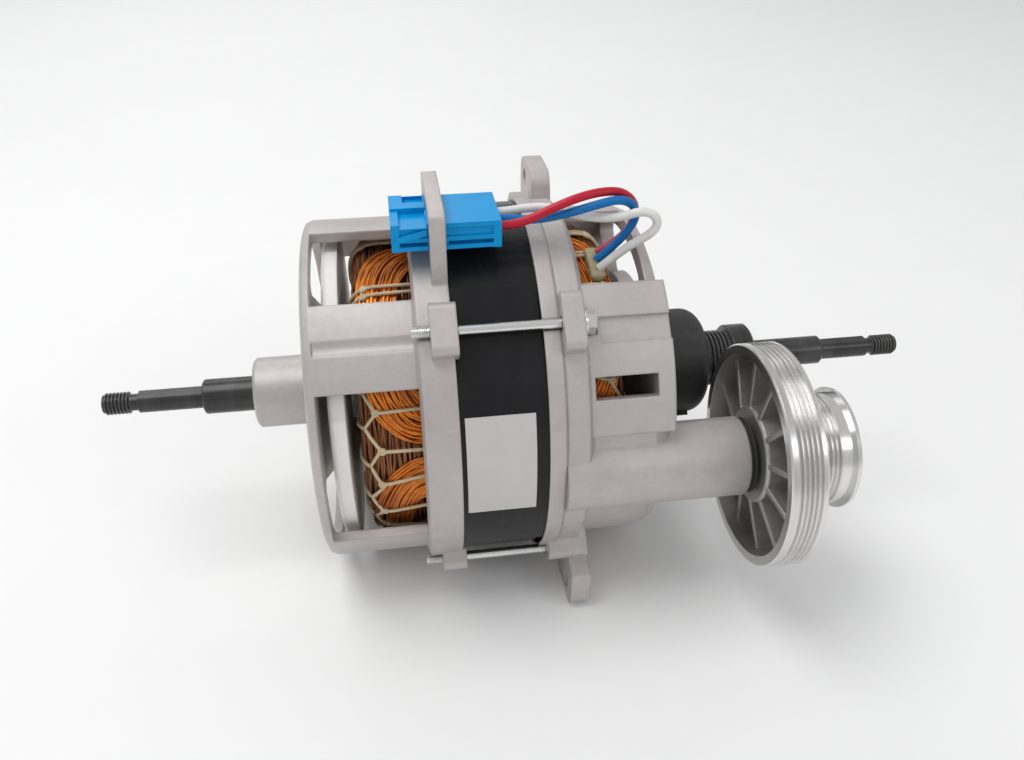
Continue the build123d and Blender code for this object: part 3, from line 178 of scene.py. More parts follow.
def soft_edge_group():
    """A rounded normal at sharp edges, and a mask that is white along them."""
    tree, entry, leave = group_tree(
        "Soft edge",
        [("Radius", "NodeSocketFloat", 0.0005), ("Gain", "NodeSocketFloat", 3.0)],
        [("Normal", "NodeSocketVector"), ("Edge", "NodeSocketFloat")],
    )
    bevel = tree.nodes.new("ShaderNodeBevel")
    bevel.samples = 4
    tree.links.new(entry.outputs["Radius"], bevel.inputs["Radius"])
    shape = tree.nodes.new("ShaderNodeNewGeometry")
    dot = tree.nodes.new("ShaderNodeVectorMath")
    dot.operation = "DOT_PRODUCT"
    tree.links.new(bevel.outputs[0], dot.inputs[0])
    tree.links.new(shape.outputs["Normal"], dot.inputs[1])
    bent = math_node(tree, "SUBTRACT", 1.0, dot.outputs["Value"])
    edge = math_node(tree, "MINIMUM", math_node(tree, "MULTIPLY", bent, entry.outputs["Gain"]), 1.0)
    tree.links.new(bevel.outputs[0], leave.inputs["Normal"])
    tree.links.new(edge, leave.inputs["Edge"])
    return tree


def two_tone_group():
    """A colour that drifts between two tones over the surface."""
    tree, entry, leave = group_tree(
        "Two tones",
        [
            ("First", "NodeSocketColor", (0.5, 0.5, 0.5, 1.0)),
            ("Second", "NodeSocketColor", (0.4, 0.4, 0.4, 1.0)),
            ("Tone", "NodeSocketFloat", 0.5),
            ("Contrast", "NodeSocketFloat", 2.5),
        ],
        [("Color", "NodeSocketColor")],
    )
    shifted = math_node(tree, "SUBTRACT", entry.outputs["Tone"], 0.5)
    spread = math_node(tree, "MULTIPLY", shifted, entry.outputs["Contrast"])
    share = math_node(tree, "ADD", spread, 0.5)
    colour = mix_colour(tree, share, entry.outputs["First"], entry.outputs["Second"])
    tree.links.new(colour, leave.inputs["Color"])
    return tree


def lathe_rings_group():
    """Fine turning marks about an axis along X, on faces and on round sides alike."""
    band_scale = 0.08
    tree, entry, leave = group_tree(
        "Lathe rings",
        [
            ("Axis Y", "NodeSocketFloat", 0.0),
            ("Axis Z", "NodeSocketFloat", 0.0),
            ("Pitch", "NodeSocketFloat", 0.0004),
        ],
        [("Height", "NodeSocketFloat"), ("Tone", "NodeSocketFloat")],
    )
    parts = tree.nodes.new("ShaderNodeSeparateXYZ")
    tree.links.new(object_coordinate(tree), parts.inputs[0])
    across = math_node(tree, "SUBTRACT", parts.outputs["Y"], entry.outputs["Axis Y"])
    above = math_node(tree, "SUBTRACT", parts.outputs["Z"], entry.outputs["Axis Z"])
    across_square = math_node(tree, "POWER", across, 2.0)
    above_square = math_node(tree, "POWER", above, 2.0)
    radius = math_node(tree, "SQRT", math_node(tree, "ADD", across_square, above_square))
    path = math_node(tree, "ADD", radius, parts.outputs["X"])
    line = tree.nodes.new("ShaderNodeCombineXYZ")
    tree.links.new(math_node(tree, "DIVIDE", path, entry.outputs["Pitch"]), line.inputs[0])
    marks = noise_node(tree, line.outputs[0], 1.0, 4.0, 0.7)
    bands = noise_node(tree, line.outputs[0], band_scale, 2.0, 0.5)
    tree.links.new(marks, leave.inputs["Height"])
    tree.links.new(bands, leave.inputs["Tone"])
    return tree


def scuff_group():
    """Scattered dark smears and rubbed spots."""
    smear_stretch = (0.45, 1.0, 1.6)
    fine_scale = 6.0
    threshold = 0.56
    sharpness = 7.0
    tree, entry, leave = group_tree(
        "Scuffs",
        [("Scale", "NodeSocketFloat", 60.0), ("Amount", "NodeSocketFloat", 0.3)],
        [("Mask", "NodeSocketFloat")],
    )
    spot = object_coordinate(tree)
    stretch = tree.nodes.new("ShaderNodeMapping")
    stretch.inputs["Scale"].default_value = smear_stretch
    tree.links.new(spot, stretch.inputs["Vector"])
    scale = entry.outputs["Scale"]
    broad = noise_node(tree, stretch.outputs[0], scale, 5.0, 0.65)
    fine = noise_node(tree, spot, math_node(tree, "MULTIPLY", scale, fine_scale), 3.0, 0.6)
    raised = math_node(tree, "MULTIPLY", math_node(tree, "SUBTRACT", broad, threshold), sharpness)
    held = math_node(tree, "MAXIMUM", math_node(tree, "MINIMUM", raised, 1.0), 0.0)
    broken = math_node(tree, "MULTIPLY", held, fine)
    tree.links.new(math_node(tree, "MULTIPLY", broken, entry.outputs["Amount"]), leave.inputs["Mask"])
    return tree


GROUP_MAKERS = {
    "Cast relief": cast_relief_group,
    "Soft edge": soft_edge_group,
    "Two tones": two_tone_group,
    "Lathe rings": lathe_rings_group,
    "Scuffs": scuff_group,
}
GROUPS = {}


def use_group(tree, name, **values):
    """A group node in a material, with numbers or colours on its named inputs."""
    if name not in GROUPS:
        GROUPS[name] = GROUP_MAKERS[name]()
    node = tree.nodes.new("ShaderNodeGroup")
    node.node_tree = GROUPS[name]
    for key, value in values.items():
        node.inputs[key.replace("_", " ")].default_value = value
    return node


def mix_colour(tree, factor, first, second):
    """A colour mix whose inputs are sockets or colours."""
    mix = tree.nodes.new("ShaderNodeMix")
    mix.data_type = "RGBA"
    mix.clamp_factor = True
    for label, value in (("Factor", factor), ("A", first), ("B", second)):
        if hasattr(value, "is_linked"):
            tree.links.new(value, mix.inputs[label])
        else:
            mix.inputs[label].default_value = value
    return mix.outputs["Result"]


# Finishes

COAT_ROUGHNESS = 0.12
EDGE_GAIN = 3.0
RING_TONE_LOW = 0.15
RING_TONE_RANGE = 0.7
SCUFF_SCALE = 70.0
SCUFF_ROUGHNESS = 0.2
MOTOR_AXIS = (0.0, 0.0)
COUNTER_AXIS = (COUNTER_Y * MM, COUNTER_Z * MM)


def finish(name, first, second, metallic, roughness, relief, bump, edge=0.0, wear=None, scuffs=0.0,
           scuff_colour=(0.05, 0.045, 0.04), rings=None, coat=0.0, contrast=2.5, specular=0.5):
    """A Principled material with drifting tone, uneven gloss, relief, soft edges and wear.

    The pair in roughness belongs to the two tones. relief is (scale, coarse, fine), bump is (strength,
    distance), wear is (colour, amount) and rings is (axis Y, axis Z, pitch, depth).
    """
    material = bpy.data.materials.new(name)
    material.use_nodes = True
    tree = material.node_tree
    shader = tree.nodes["Principled BSDF"]
    shader.inputs["Metallic"].default_value = metallic
    shader.inputs["Specular IOR Level"].default_value = specular
    shader.inputs["Coat Weight"].default_value = coat
    shader.inputs["Coat Roughness"].default_value = COAT_ROUGHNESS
    skin = use_group(tree, "Cast relief", Scale=relief[0], Coarse=relief[1], Fine=relief[2])
    tone = skin.outputs["Tone"]
    height = skin.outputs["Height"]
    if rings:
        turned = use_group(tree, "Lathe rings", Axis_Y=rings[0], Axis_Z=rings[1], Pitch=rings[2])
        tone = math_node(tree, "MULTIPLY_ADD", turned.outputs["Tone"], RING_TONE_RANGE, RING_TONE_LOW)
        height = math_node(
            tree, "ADD", math_node(tree, "MULTIPLY", turned.outputs["Height"], rings[3]), height
        )
    tones = use_group(
        tree, "Two tones", First=(*first, 1.0), Second=(*second, 1.0), Contrast=contrast
    )
    tree.links.new(tone, tones.inputs["Tone"])
    colour = tones.outputs["Color"]
    rough = math_node(tree, "MULTIPLY_ADD", tone, roughness[1] - roughness[0], roughness[0])
    if scuffs:
        smears = use_group(tree, "Scuffs", Scale=SCUFF_SCALE, Amount=scuffs).outputs["Mask"]
        colour = mix_colour(tree, smears, colour, (*scuff_colour, 1.0))
        rough = math_node(tree, "ADD", rough, math_node(tree, "MULTIPLY", smears, SCUFF_ROUGHNESS))
    relief_node = tree.nodes.new("ShaderNodeBump")
    relief_node.inputs["Strength"].default_value = bump[0]
    relief_node.inputs["Distance"].default_value = bump[1]
    tree.links.new(height, relief_node.inputs["Height"])
    if edge:
        rounded = use_group(tree, "Soft edge", Radius=edge, Gain=EDGE_GAIN)
        tree.links.new(rounded.outputs["Normal"], relief_node.inputs["Normal"])
        if wear:
            share = math_node(tree, "MULTIPLY", rounded.outputs["Edge"], wear[1])
            colour = mix_colour(tree, share, colour, (*wear[0], 1.0))
    tree.links.new(colour, shader.inputs["Base Color"])
    tree.links.new(rough, shader.inputs["Roughness"])
    tree.links.new(relief_node.outputs["Normal"], shader.inputs["Normal"])
    return material


def darker(colour, share):
    """A tone of a colour."""
    return tuple(channel * share for channel in colour)


def insulation(tint, colour):
    """Smooth insulation of a lead."""
    return finish(
        "insulation_" + tint, colour, darker(colour, 0.82), metallic=0.0, roughness=(0.22, 0.42),
        relief=(260.0, 0.5, 0.3), bump=(0.12, 0.0002), scuffs=0.15, specular=0.3,
    )


def cast_aluminium():
    """Dull cast skin of the end bells, paler along its edges."""
    colour = tuple(colours().casting)
    return finish(
        "cast_aluminium", colour, darker(colour, 0.86), metallic=0.45, roughness=(0.36, 0.54),
        relief=(420.0, 0.45, 0.55), bump=(0.35, 0.0003), edge=0.0011, wear=((0.72, 0.70, 0.69), 0.3),
        scuffs=0.3, scuff_colour=(0.26, 0.235, 0.22),
    )


def cage_casting():
    """Bright cast metal of the rotor's cage."""
    return finish(
        "cage_casting", (0.62, 0.61, 0.59), (0.48, 0.47, 0.45), metallic=0.9, roughness=(0.4, 0.6),
        relief=(350.0, 0.6, 0.4), bump=(0.4, 0.0004),
    )


def stack_paint():
    """Black paint over the edges of the stack's sheets."""
    colour = tuple(colours().paint)
    return finish(
        "stack_paint", colour, darker(colour, 1.8), metallic=0.0, roughness=(0.20, 0.34),
        relief=(240.0, 0.5, 0.2), bump=(0.30, 0.0003), edge=0.0004, wear=((0.10, 0.095, 0.09), 0.25),
        scuffs=0.1, scuff_colour=(0.07, 0.065, 0.06), rings=(*MOTOR_AXIS, 0.0011, 0.5), specular=0.22,
    )


def rotor_steel():
    """Dark sheet edges of the rotor."""
    return finish(
        "rotor_steel", (0.12, 0.12, 0.13), (0.20, 0.19, 0.18), metallic=0.9, roughness=(0.35, 0.55),
        relief=(500.0, 0.4, 0.4), bump=(0.3, 0.0002), rings=(*MOTOR_AXIS, 0.0010, 0.6),
    )


def liner_film():
    """Pale film that lines the slots."""
    return finish(
        "liner_film", (0.80, 0.76, 0.64), (0.68, 0.63, 0.50), metallic=0.0, roughness=(0.4, 0.6),
        relief=(200.0, 0.5, 0.3), bump=(0.2, 0.0003),
    )


def black_oxide():
    """Blackened steel of the motor shaft and its pulley, bright where it is rubbed."""
    return finish(
        "black_oxide", (0.022, 0.022, 0.024), (0.06, 0.058, 0.056), metallic=0.4, roughness=(0.2, 0.36),
        relief=(600.0, 0.3, 0.3), bump=(0.15, 0.0001), edge=0.0003, wear=((0.55, 0.54, 0.52), 0.6),
        scuffs=0.3, scuff_colour=(0.26, 0.25, 0.24), rings=(*MOTOR_AXIS, 0.0005, 0.8),
    )


def countershaft_steel():
    """Grey turned steel of the countershaft."""
    return finish(
        "countershaft_steel", (0.10, 0.10, 0.10), (0.18, 0.175, 0.17), metallic=0.9,
        roughness=(0.25, 0.42), relief=(600.0, 0.3, 0.3), bump=(0.15, 0.0001), edge=0.0003,
        wear=((0.55, 0.54, 0.52), 0.5), rings=(*COUNTER_AXIS, 0.0005, 0.8),
    )


def bearing_steel():
    """Polished steel of the bearings."""
    return finish(
        "bearing_steel", (0.74, 0.74, 0.74), (0.62, 0.62, 0.62), metallic=1.0, roughness=(0.12, 0.24),
        relief=(800.0, 0.3, 0.3), bump=(0.1, 0.0001), scuffs=0.15,
    )


def bright_zinc():
    """Zinc plating of the bolts, the nut and the washer."""
    return finish(
        "bright_zinc", (0.82, 0.82, 0.79), (0.66, 0.67, 0.66), metallic=1.0, roughness=(0.16, 0.34),
        relief=(500.0, 0.4, 0.3), bump=(0.12, 0.0001), edge=0.0002, wear=((0.9, 0.9, 0.88), 0.3),
        scuffs=0.2,
    )


def turned_aluminium():
    """Bright turned skin of the belt pulley."""
    colour = tuple(colours().turned)
    return finish(
        "turned_aluminium", colour, darker(colour, 0.72), metallic=1.0, roughness=(0.14, 0.30),
        relief=(500.0, 0.25, 0.25), bump=(0.22, 0.0001), edge=0.0002, wear=((0.95, 0.95, 0.94), 0.4),
        scuffs=0.15, rings=(*COUNTER_AXIS, 0.00035, 1.0), contrast=2.0,
    )


def pulley_casting():
    """Rough cast skin inside the belt pulley's pocket."""
    return finish(
        "pulley_casting", (0.50, 0.49, 0.48), (0.34, 0.335, 0.33), metallic=0.80, roughness=(0.26, 0.44),
        relief=(380.0, 0.6, 0.5), bump=(0.5, 0.0004), edge=0.0008, wear=((0.75, 0.74, 0.72), 0.5),
    )


def fan_plastic():
    """White moulded plastic that lets a little light in."""
    material = finish(
        "fan_plastic", (0.92, 0.91, 0.87), (0.86, 0.84, 0.78), metallic=0.0, roughness=(0.35, 0.5),
        relief=(220.0, 0.5, 0.3), bump=(0.15, 0.0003), edge=0.0004, scuffs=0.25,
        scuff_colour=(0.3, 0.27, 0.22),
    )
    shader = material.node_tree.nodes["Principled BSDF"]
    shader.inputs["Subsurface Weight"].default_value = 0.5
    shader.inputs["Subsurface Radius"].default_value = (1.0, 0.95, 0.85)
    shader.inputs["Subsurface Scale"].default_value = 0.004
    return material


def black_rubber():
    """Dull rubber of the ring and the seal."""
    return finish(
        "black_rubber", (0.018, 0.018, 0.018), (0.035, 0.034, 0.033), metallic=0.0,
        roughness=(0.5, 0.72), relief=(500.0, 0.5, 0.5), bump=(0.35, 0.0003), edge=0.0006, scuffs=0.3,
        scuff_colour=(0.13, 0.125, 0.12),
    )


def plug_plastic():
    """Blue moulded plastic of the plug."""
    colour = tuple(colours().housing)
    return finish(
        "plug_plastic", colour, darker(colour, 0.86), metallic=0.0, roughness=(0.16, 0.30),
        relief=(180.0, 0.5, 0.25), bump=(0.12, 0.0003), edge=0.0003, wear=((0.03, 0.42, 0.80), 0.3),
        scuffs=0.2, scuff_colour=(0.004, 0.14, 0.40), specular=0.14,
    )


def terminal_brass():
    """Bare brass of the plug's tabs."""
    return finish(
        "terminal_brass", (0.78, 0.58, 0.26), (0.62, 0.44, 0.18), metallic=1.0, roughness=(0.2, 0.35),
        relief=(500.0, 0.4, 0.3), bump=(0.1, 0.0001),
    )


def blank_plate():
    """Bare silver-grey film of the plate."""
    return finish(
        "blank_plate", (0.60, 0.575, 0.565), (0.55, 0.53, 0.52), metallic=0.1, roughness=(0.34, 0.48),
        relief=(160.0, 0.5, 0.2), bump=(0.06, 0.0002), edge=0.0001, scuffs=0.2,
        scuff_colour=(0.42, 0.41, 0.40),
    )


def varnished_copper():
    """Bright orange wire of the coils on the outside."""
    return finish(
        "varnished_copper", tuple(colours().wire), (0.34, 0.08, 0.014), metallic=0.72,
        roughness=(0.22, 0.38), relief=(300.0, 0.5, 0.3), bump=(0.2, 0.0002), scuffs=0.8,
        scuff_colour=(0.05, 0.016, 0.007), coat=0.1, contrast=3.2,
    )


def varnished_strands():
    """Brown wire that lies deeper under the varnish."""
    return finish(
        "varnished_strands", (0.36, 0.13, 0.045), (0.13, 0.05, 0.022), metallic=0.5,
        roughness=(0.3, 0.5), relief=(260.0, 0.5, 0.3), bump=(0.2, 0.0002), scuffs=0.8,
        scuff_colour=(0.24, 0.17, 0.09), coat=0.2, contrast=3.0,
    )


def varnish_and_wire():
    """Dark varnished mass between the wires, its colour darkened further as painted shade for the gaps
    between them.
    """
    return finish(
        "varnish_and_wire", (0.14, 0.035, 0.012), (0.05, 0.014, 0.006), metallic=0.2,
        roughness=(0.3, 0.5), relief=(400.0, 0.6, 0.4), bump=(0.5, 0.0004), coat=0.1,
    )


def lacing_cord():
    """Straw-coloured cord with varnish in its fibres."""
    return finish(
        "lacing_cord", (0.70, 0.60, 0.42), (0.50, 0.38, 0.22), metallic=0.0, roughness=(0.55, 0.75),
        relief=(900.0, 0.5, 0.5), bump=(0.5, 0.0003), scuffs=0.4, scuff_colour=(0.3, 0.14, 0.05),
    )


def varnished_tape():
    """Olive tape round the leads' joint."""
    return finish(
        "varnished_tape", (0.46, 0.42, 0.25), (0.30, 0.26, 0.14), metallic=0.0, roughness=(0.3, 0.5),
        relief=(500.0, 0.5, 0.5), bump=(0.4, 0.0003), scuffs=0.4, scuff_colour=(0.16, 0.10, 0.04),
        coat=0.3,
    )


def studio_paper():
    """Off-white matt paper of the floor."""
    material = bpy.data.materials.new("studio_paper")
    material.use_nodes = True
    tree = material.node_tree
    shader = tree.nodes["Principled BSDF"]
    shader.inputs["Roughness"].default_value = 0.9
    shader.inputs["Specular IOR Level"].default_value = 0.1
    grain = use_group(tree, "Cast relief", Scale=40.0, Coarse=0.5, Fine=0.5)
    tones = use_group(tree, "Two tones", First=(0.93, 0.93, 0.925, 1), Second=(0.91, 0.91, 0.905, 1))
    tree.links.new(grain.outputs["Tone"], tones.inputs["Tone"])
    tree.links.new(tones.outputs["Color"], shader.inputs["Base Color"])
    return material


# Pieces

def dress(node, *materials):
    """Gives a carried-over CAD node its materials."""
    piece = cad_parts[node]
    piece.data.materials.clear()
    for material in materials:
        piece.data.materials.append(material)
    return piece


def new_piece(name, mesh, material):
    """Links a smooth mesh piece, gives it its material and puts it on the motor's frame."""
    piece = bpy.data.objects.new(name, mesh)
    bpy.context.scene.collection.objects.link(piece)
    mesh.materials.append(material)
    mesh.shade_smooth()
    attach(piece, "frame")
    return piece


def new_mesh(name, points, faces):
    """A mesh from points and faces."""
    mesh = bpy.data.meshes.new(name)
    mesh.from_pydata(points, [], faces)
    return mesh


def face_outward(mesh):
    """Turns the faces of a closed mesh outward."""
    form = bmesh.new()
    form.from_mesh(mesh)
    bmesh.ops.recalc_face_normals(form, faces=form.faces)
    form.to_mesh(mesh)
    form.free()


def quads(rows, columns, closed_rows=False, closed_columns=True):
    """Faces between neighbouring rows of points that are numbered row by row."""
    faces = []
    for row in range(rows if closed_rows else rows - 1):
        below = (row + 1) % rows
        for column in range(columns if closed_columns else columns - 1):
            beside = (column + 1) % columns
            faces.append(
                (
                    row * columns + column,
                    row * columns + beside,
                    below * columns + beside,
                    below * columns + column,
                )
            )
    return faces


def capped(rows, columns):
    """Faces of a tube that is closed at both ends."""
    first = tuple(range(columns))[::-1]
    last = tuple(range((rows - 1) * columns, rows * columns))
    return quads(rows, columns) + [first, last]


def join_tubes(name, tubes):
    """One mesh from several pairs of points and faces."""
    points = []
    faces = []
    for tube_points, tube_faces in tubes:
        base = len(points)
        points += tube_points
        faces += [tuple(base + index for index in face) for face in tube_faces]
    return new_mesh(name, points, faces)


# Wound wire, in millimetres and degrees

ARC_STEPS = 24
OUTLINE_STEP = 0.25
RAIL_STEP = 0.5
FULL_TURN = 2 * math.pi
PHASE_RANGE = 6.28


def bundle_outline(length, offset):
    """Points (station, radius) round an end bundle's outside, moved out by offset."""
    start = BUNDLE_START + BUNDLE_GAP
    bend_at = BUNDLE_START + length - BUNDLE_FILLET
    run = bend_at - start
    reach = BUNDLE_FILLET + offset
    outer_centre = BUNDLE_OUTER - BUNDLE_FILLET
    inner_centre = BUNDLE_INNER + BUNDLE_FILLET
    steps = max(int(run / OUTLINE_STEP), 2)
    swings = [math.radians(90 * index / ARC_STEPS) for index in range(ARC_STEPS + 1)]
    points = [(start + run * index / steps, BUNDLE_OUTER + offset) for index in range(steps)]
    for swing in swings:
        points.append((bend_at + reach * math.sin(swing), outer_centre + reach * math.cos(swing)))
    for swing in swings:
        points.append((bend_at + reach * math.cos(swing), inner_centre - reach * math.sin(swing)))
    for index in range(1, steps + 1):
        points.append((bend_at - run * index / steps, BUNDLE_INNER - offset))
    return points


def spaced(points, pitch):
    """Points along an outline at an even pitch."""
    travel = [0.0]
    for first, second in zip(points, points[1:]):
        travel.append(travel[-1] + math.dist(first, second))
    chosen = []
    target = 0.0
    for index in range(len(points) - 1):
        while target <= travel[index + 1]:
            share = (target - travel[index]) / max(travel[index + 1] - travel[index], 1e-9)
            chosen.append(between(points[index], points[index + 1], share))
            target += pitch
    return chosen


def strand_tubes(side, length, strand_radius, pitch, seed):
    """Wavy wire rings laid in two layers on an end bundle."""
    steps = 216
    sides = 6
    layers = (strand_radius * 0.9, strand_radius * 2.55)
    orders = (3, 5, 8, 12, 17)
    along_share = 1.7
    out_share = 0.55
    least_x = BUNDLE_START + 0.5
    most_x = BUNDLE_START + length + 1.45
    least_radius = BUNDLE_INNER - 1.2
    most_radius = BUNDLE_OUTER + 1.5
    chance = random.Random(seed)
    faces = quads(steps, sides, closed_rows=True)
    if side < 0:
        faces = [face[::-1] for face in faces]
    tubes = []
    for offset in layers:
        for station, radius in spaced(bundle_outline(length, offset), pitch):
            waves = []
            for order in orders:
                size = chance.uniform(0.15, 0.62) / math.sqrt(order)
                along_phase = chance.uniform(0, PHASE_RANGE)
                out_phase = chance.uniform(0, PHASE_RANGE)
                waves.append((order, size * along_share, size * out_share, along_phase, out_phase))
            thick = strand_radius * chance.uniform(0.9, 1.04)
            points = []
            for step in range(steps):
                turn = FULL_TURN * step / steps
                along = sum(size * math.sin(order * turn + phase) for order, size, _, phase, _ in waves)
                out = sum(size * math.sin(order * turn + phase) for order, _, size, _, phase in waves)
                x = max(min(station + along, most_x), least_x)
                r = max(min(radius + out, most_radius), least_radius)
                for corner in range(sides):
                    swing = FULL_TURN * corner / sides
                    reach = r + thick * math.cos(swing)
                    points.append(on_circle(side * (x + thick * math.sin(swing)), reach, turn))
            tubes.append((points, faces))
    return tubes


def bundle_mass(side, length):
    """The inner wire mass of an end bundle, a ring with a lumpy skin."""
    steps = 144
    inset = 0.25
    pitch = 1.6
    broad_lump = 0.18
    small_lump = 0.12
    start = BUNDLE_START + BUNDLE_GAP
    outline = spaced(bundle_outline(length, -inset), pitch)
    outline.append((start, BUNDLE_INNER + inset))
    outline.append((start, BUNDLE_OUTER - inset))
    points = []
    for step in range(steps):
        turn = FULL_TURN * step / steps
        for index, (x, r) in enumerate(outline):
            lump = broad_lump * math.sin(19 * turn + index * 1.3)
            lump += small_lump * math.sin(47 * turn - index * 2.1)
            points.append(on_circle(side * x, r + lump, turn))
    return points, quads(steps, len(outline), closed_rows=True)


def slot_bars():
    """The wire in each slot of the stack, a bar from bundle to bundle."""
    slot_count = 24
    rows = 13
    corners = 10
    half_length = BUNDLE_START + 1
    middle_radius = 44.3
    half_depth = 5.6
    half_width = 2.0
    bars = []
    for slot_index in range(slot_count):
        turn = FULL_TURN * slot_index / slot_count
        outward = Vector((0, math.cos(turn), math.sin(turn)))
        across = Vector((0, -math.sin(turn), math.cos(turn)))
        points = []
        for row in range(rows):
            x = -half_length + 2 * half_length * row / (rows - 1)
            for corner in range(corners):
                swing = FULL_TURN * corner / corners
                depth = middle_radius + half_depth * math.cos(swing)
                flat = outward * depth + across * (half_width * math.sin(swing))
                points.append(place(x, flat.y, flat.z))
        bars.append((points, capped(rows, corners)))
    return bars


def tube_along(spots, radius, sides=8):
    """A capped tube that follows a list of points."""
    points = []
    heading = (spots[1] - spots[0]).normalized()
    up = heading.orthogonal().normalized()
    for index, spot in enumerate(spots):
        ahead = spots[min(index + 1, len(spots) - 1)]
        behind = spots[max(index - 1, 0)]
        heading = (ahead - behind).normalized()
        up = (up - heading * up.dot(heading)).normalized()
        beside = heading.cross(up)
        for corner in range(sides):
            swing = FULL_TURN * corner / sides
            points.append(spot + (up * math.cos(swing) + beside * math.sin(swing)) * radius)
    return points, capped(len(spots), sides)


def on_rail(side, rail, distance, angle):
    """The point at a distance along an outline of even steps, at an angle."""
    spot = min(max(distance / RAIL_STEP, 0.0), len(rail) - 1.001)
    index = int(spot)
    x, r = between(rail[index], rail[index + 1], spot - index)
    return around(side * x, r, angle)


def coil_tubes(side, length, radius, seed):
    """Bunches of wire that leave the slots, run round the bundle and go back into the slots."""
    centres = (51.0, 141.0, 231.0, 321.0)
    strands = 44
    steps = 60
    layers = (1.95, 2.45, 2.95)
    layer_draw = (0, 0, 1, 1, 2)
    inner_half = 25.0
    outer_half_more = 16.5
    inner_height = 0.52
    crown = 6.5
    foot = 0.4
    wobble = 0.35
    chance = random.Random(seed)
    rails = [spaced(bundle_outline(length, layer), RAIL_STEP) for layer in layers]
    corner = length - BUNDLE_FILLET - BUNDLE_GAP
    tubes = []
    for centre in centres:
        lean = chance.uniform(-1.5, 1.5)
        for strand in range(strands):
            share = strand / (strands - 1)
            half = inner_half + outer_half_more * share + chance.uniform(-1.2, 1.2)
            height = corner * (inner_height + (1 - inner_height) * share)
            height += crown * share ** 2 + chance.uniform(-0.8, 0.8)
            power = chance.uniform(1.9, 2.6)
            rail = rails[chance.choice(layer_draw)]
            phase = chance.uniform(0, PHASE_RANGE)
            sway = chance.uniform(0.1, 0.45)
            spots = []
            for step in range(steps + 1):
                swing = math.pi * step / steps
                across = math.cos(swing)
                rise = max(1.0 - abs(across) ** power, 0.0) ** (1.0 / power)
                ripple = sway * math.sin(5 * swing + phase) * math.sin(swing)
                angle = centre + lean + half * across + wobble * math.sin(9 * swing + phase)
                spots.append(on_rail(side, rail, foot + (height - foot) * rise + ripple, angle))
            tubes.append(tube_along(spots, radius * chance.uniform(0.92, 1.05), 6))
    return tubes


# Lacing, in millimetres and degrees

def lacing_rail(length, high, low):
    """An outline that stands off over the coils and lies close on the end face."""
    blend_before = 4
    blend_steps = 22
    outer = bundle_outline(length, high)
    inner = bundle_outline(length, low)
    bend_index = (len(outer) - 2 * (ARC_STEPS + 1)) // 2
    points = []
    for index, (first, second) in enumerate(zip(outer, inner)):
        share = min(max((index - bend_index + blend_before) / blend_steps, 0.0), 1.0)
        points.append(between(first, second, share))
    return spaced(points, RAIL_STEP)


def cord_run(side, rail, first, second, radius, bow=0.0):
    """A cord over the bundle between two (distance, angle) spots."""
    distance_step = 1.2
    angle_step = 2.0
    count = int(abs(second[0] - first[0]) / distance_step + abs(second[1] - first[1]) / angle_step)
    count = max(count, 4)
    spots = []
    for step in range(count + 1):
        share = step / count
        distance, angle = between(first, second, share)
        spots.append(on_rail(side, rail, distance + bow * math.sin(share * math.pi), angle))
    return tube_along(spots, radius)


def knot(side, rail, spot, radius):
    """A small hitch tied in the cord."""
    half_length = 0.9
    half_angle = 0.8
    thicker = 1.15
    spots = []
    for step in range(10):
        swing = FULL_TURN * step / 8
        distance = spot[0] + half_length * math.cos(swing)
        spots.append(on_rail(side, rail, distance, spot[1] + half_angle * math.sin(swing)))
    return tube_along(spots, radius * thicker)


def lacing_tubes(side, length, spacing, radius, seed, loops, nets):
    """Cords tied round an end bundle: plain loops, and nets of six-sided meshes."""
    over_coils = 3.1
    over_face = 1.85
    cord_share = 0.8
    tie_reach = 0.4
    mesh_reach = 4.6
    hitch_reach = 2.0
    hitch_slant = 0.4
    chance = random.Random(seed)
    rail = lacing_rail(length, over_coils + radius / MM, over_face + radius / MM)
    end = RAIL_STEP * (len(rail) - 1) * cord_share
    near = length - BUNDLE_FILLET + tie_reach
    far = near + mesh_reach
    tubes = []
    for angle in loops:
        slant = chance.uniform(-2.0, 2.0)
        tubes.append(cord_run(side, rail, (0.0, angle), (end, angle + slant), radius))
        tubes.append(knot(side, rail, (near + hitch_reach, angle + slant * hitch_slant), radius))
    for low, high in nets:
        count = max(int(round((high - low) / spacing)), 1)
        pitch = (high - low) / count
        for index in range(count + 1):
            angle = low + pitch * index + chance.uniform(-1.2, 1.2)
            tie = (near + chance.uniform(-0.8, 0.8), angle)
            foot = (0.0, angle + chance.uniform(-5.0, 5.0))
            tubes.append(cord_run(side, rail, tie, foot, radius, chance.uniform(-0.3, 0.3)))
            tubes.append(knot(side, rail, tie, radius))
            if index == count:
                break
            peak = (far + chance.uniform(-0.7, 0.7), angle + pitch * chance.uniform(0.42, 0.58))
            tubes.append(cord_run(side, rail, tie, peak, radius))
            tubes.append(cord_run(side, rail, peak, (near, angle + pitch), radius))
            tubes.append(cord_run(side, rail, peak, (end, peak[1] + chance.uniform(-4, 4)), radius))
    return tubes


# Sizes and colours a user would change

def length_setting(name, description, default):
    """A small length in metres."""
    return bpy.props.FloatProperty(
        name=name, description=description, default=default, unit="LENGTH", subtype="DISTANCE", precision=5
    )


def colour_setting(name, description, default):
    """A colour."""
    return bpy.props.FloatVectorProperty(
        name=name, description=description, default=default, size=3, subtype="COLOR", min=0, max=1
    )


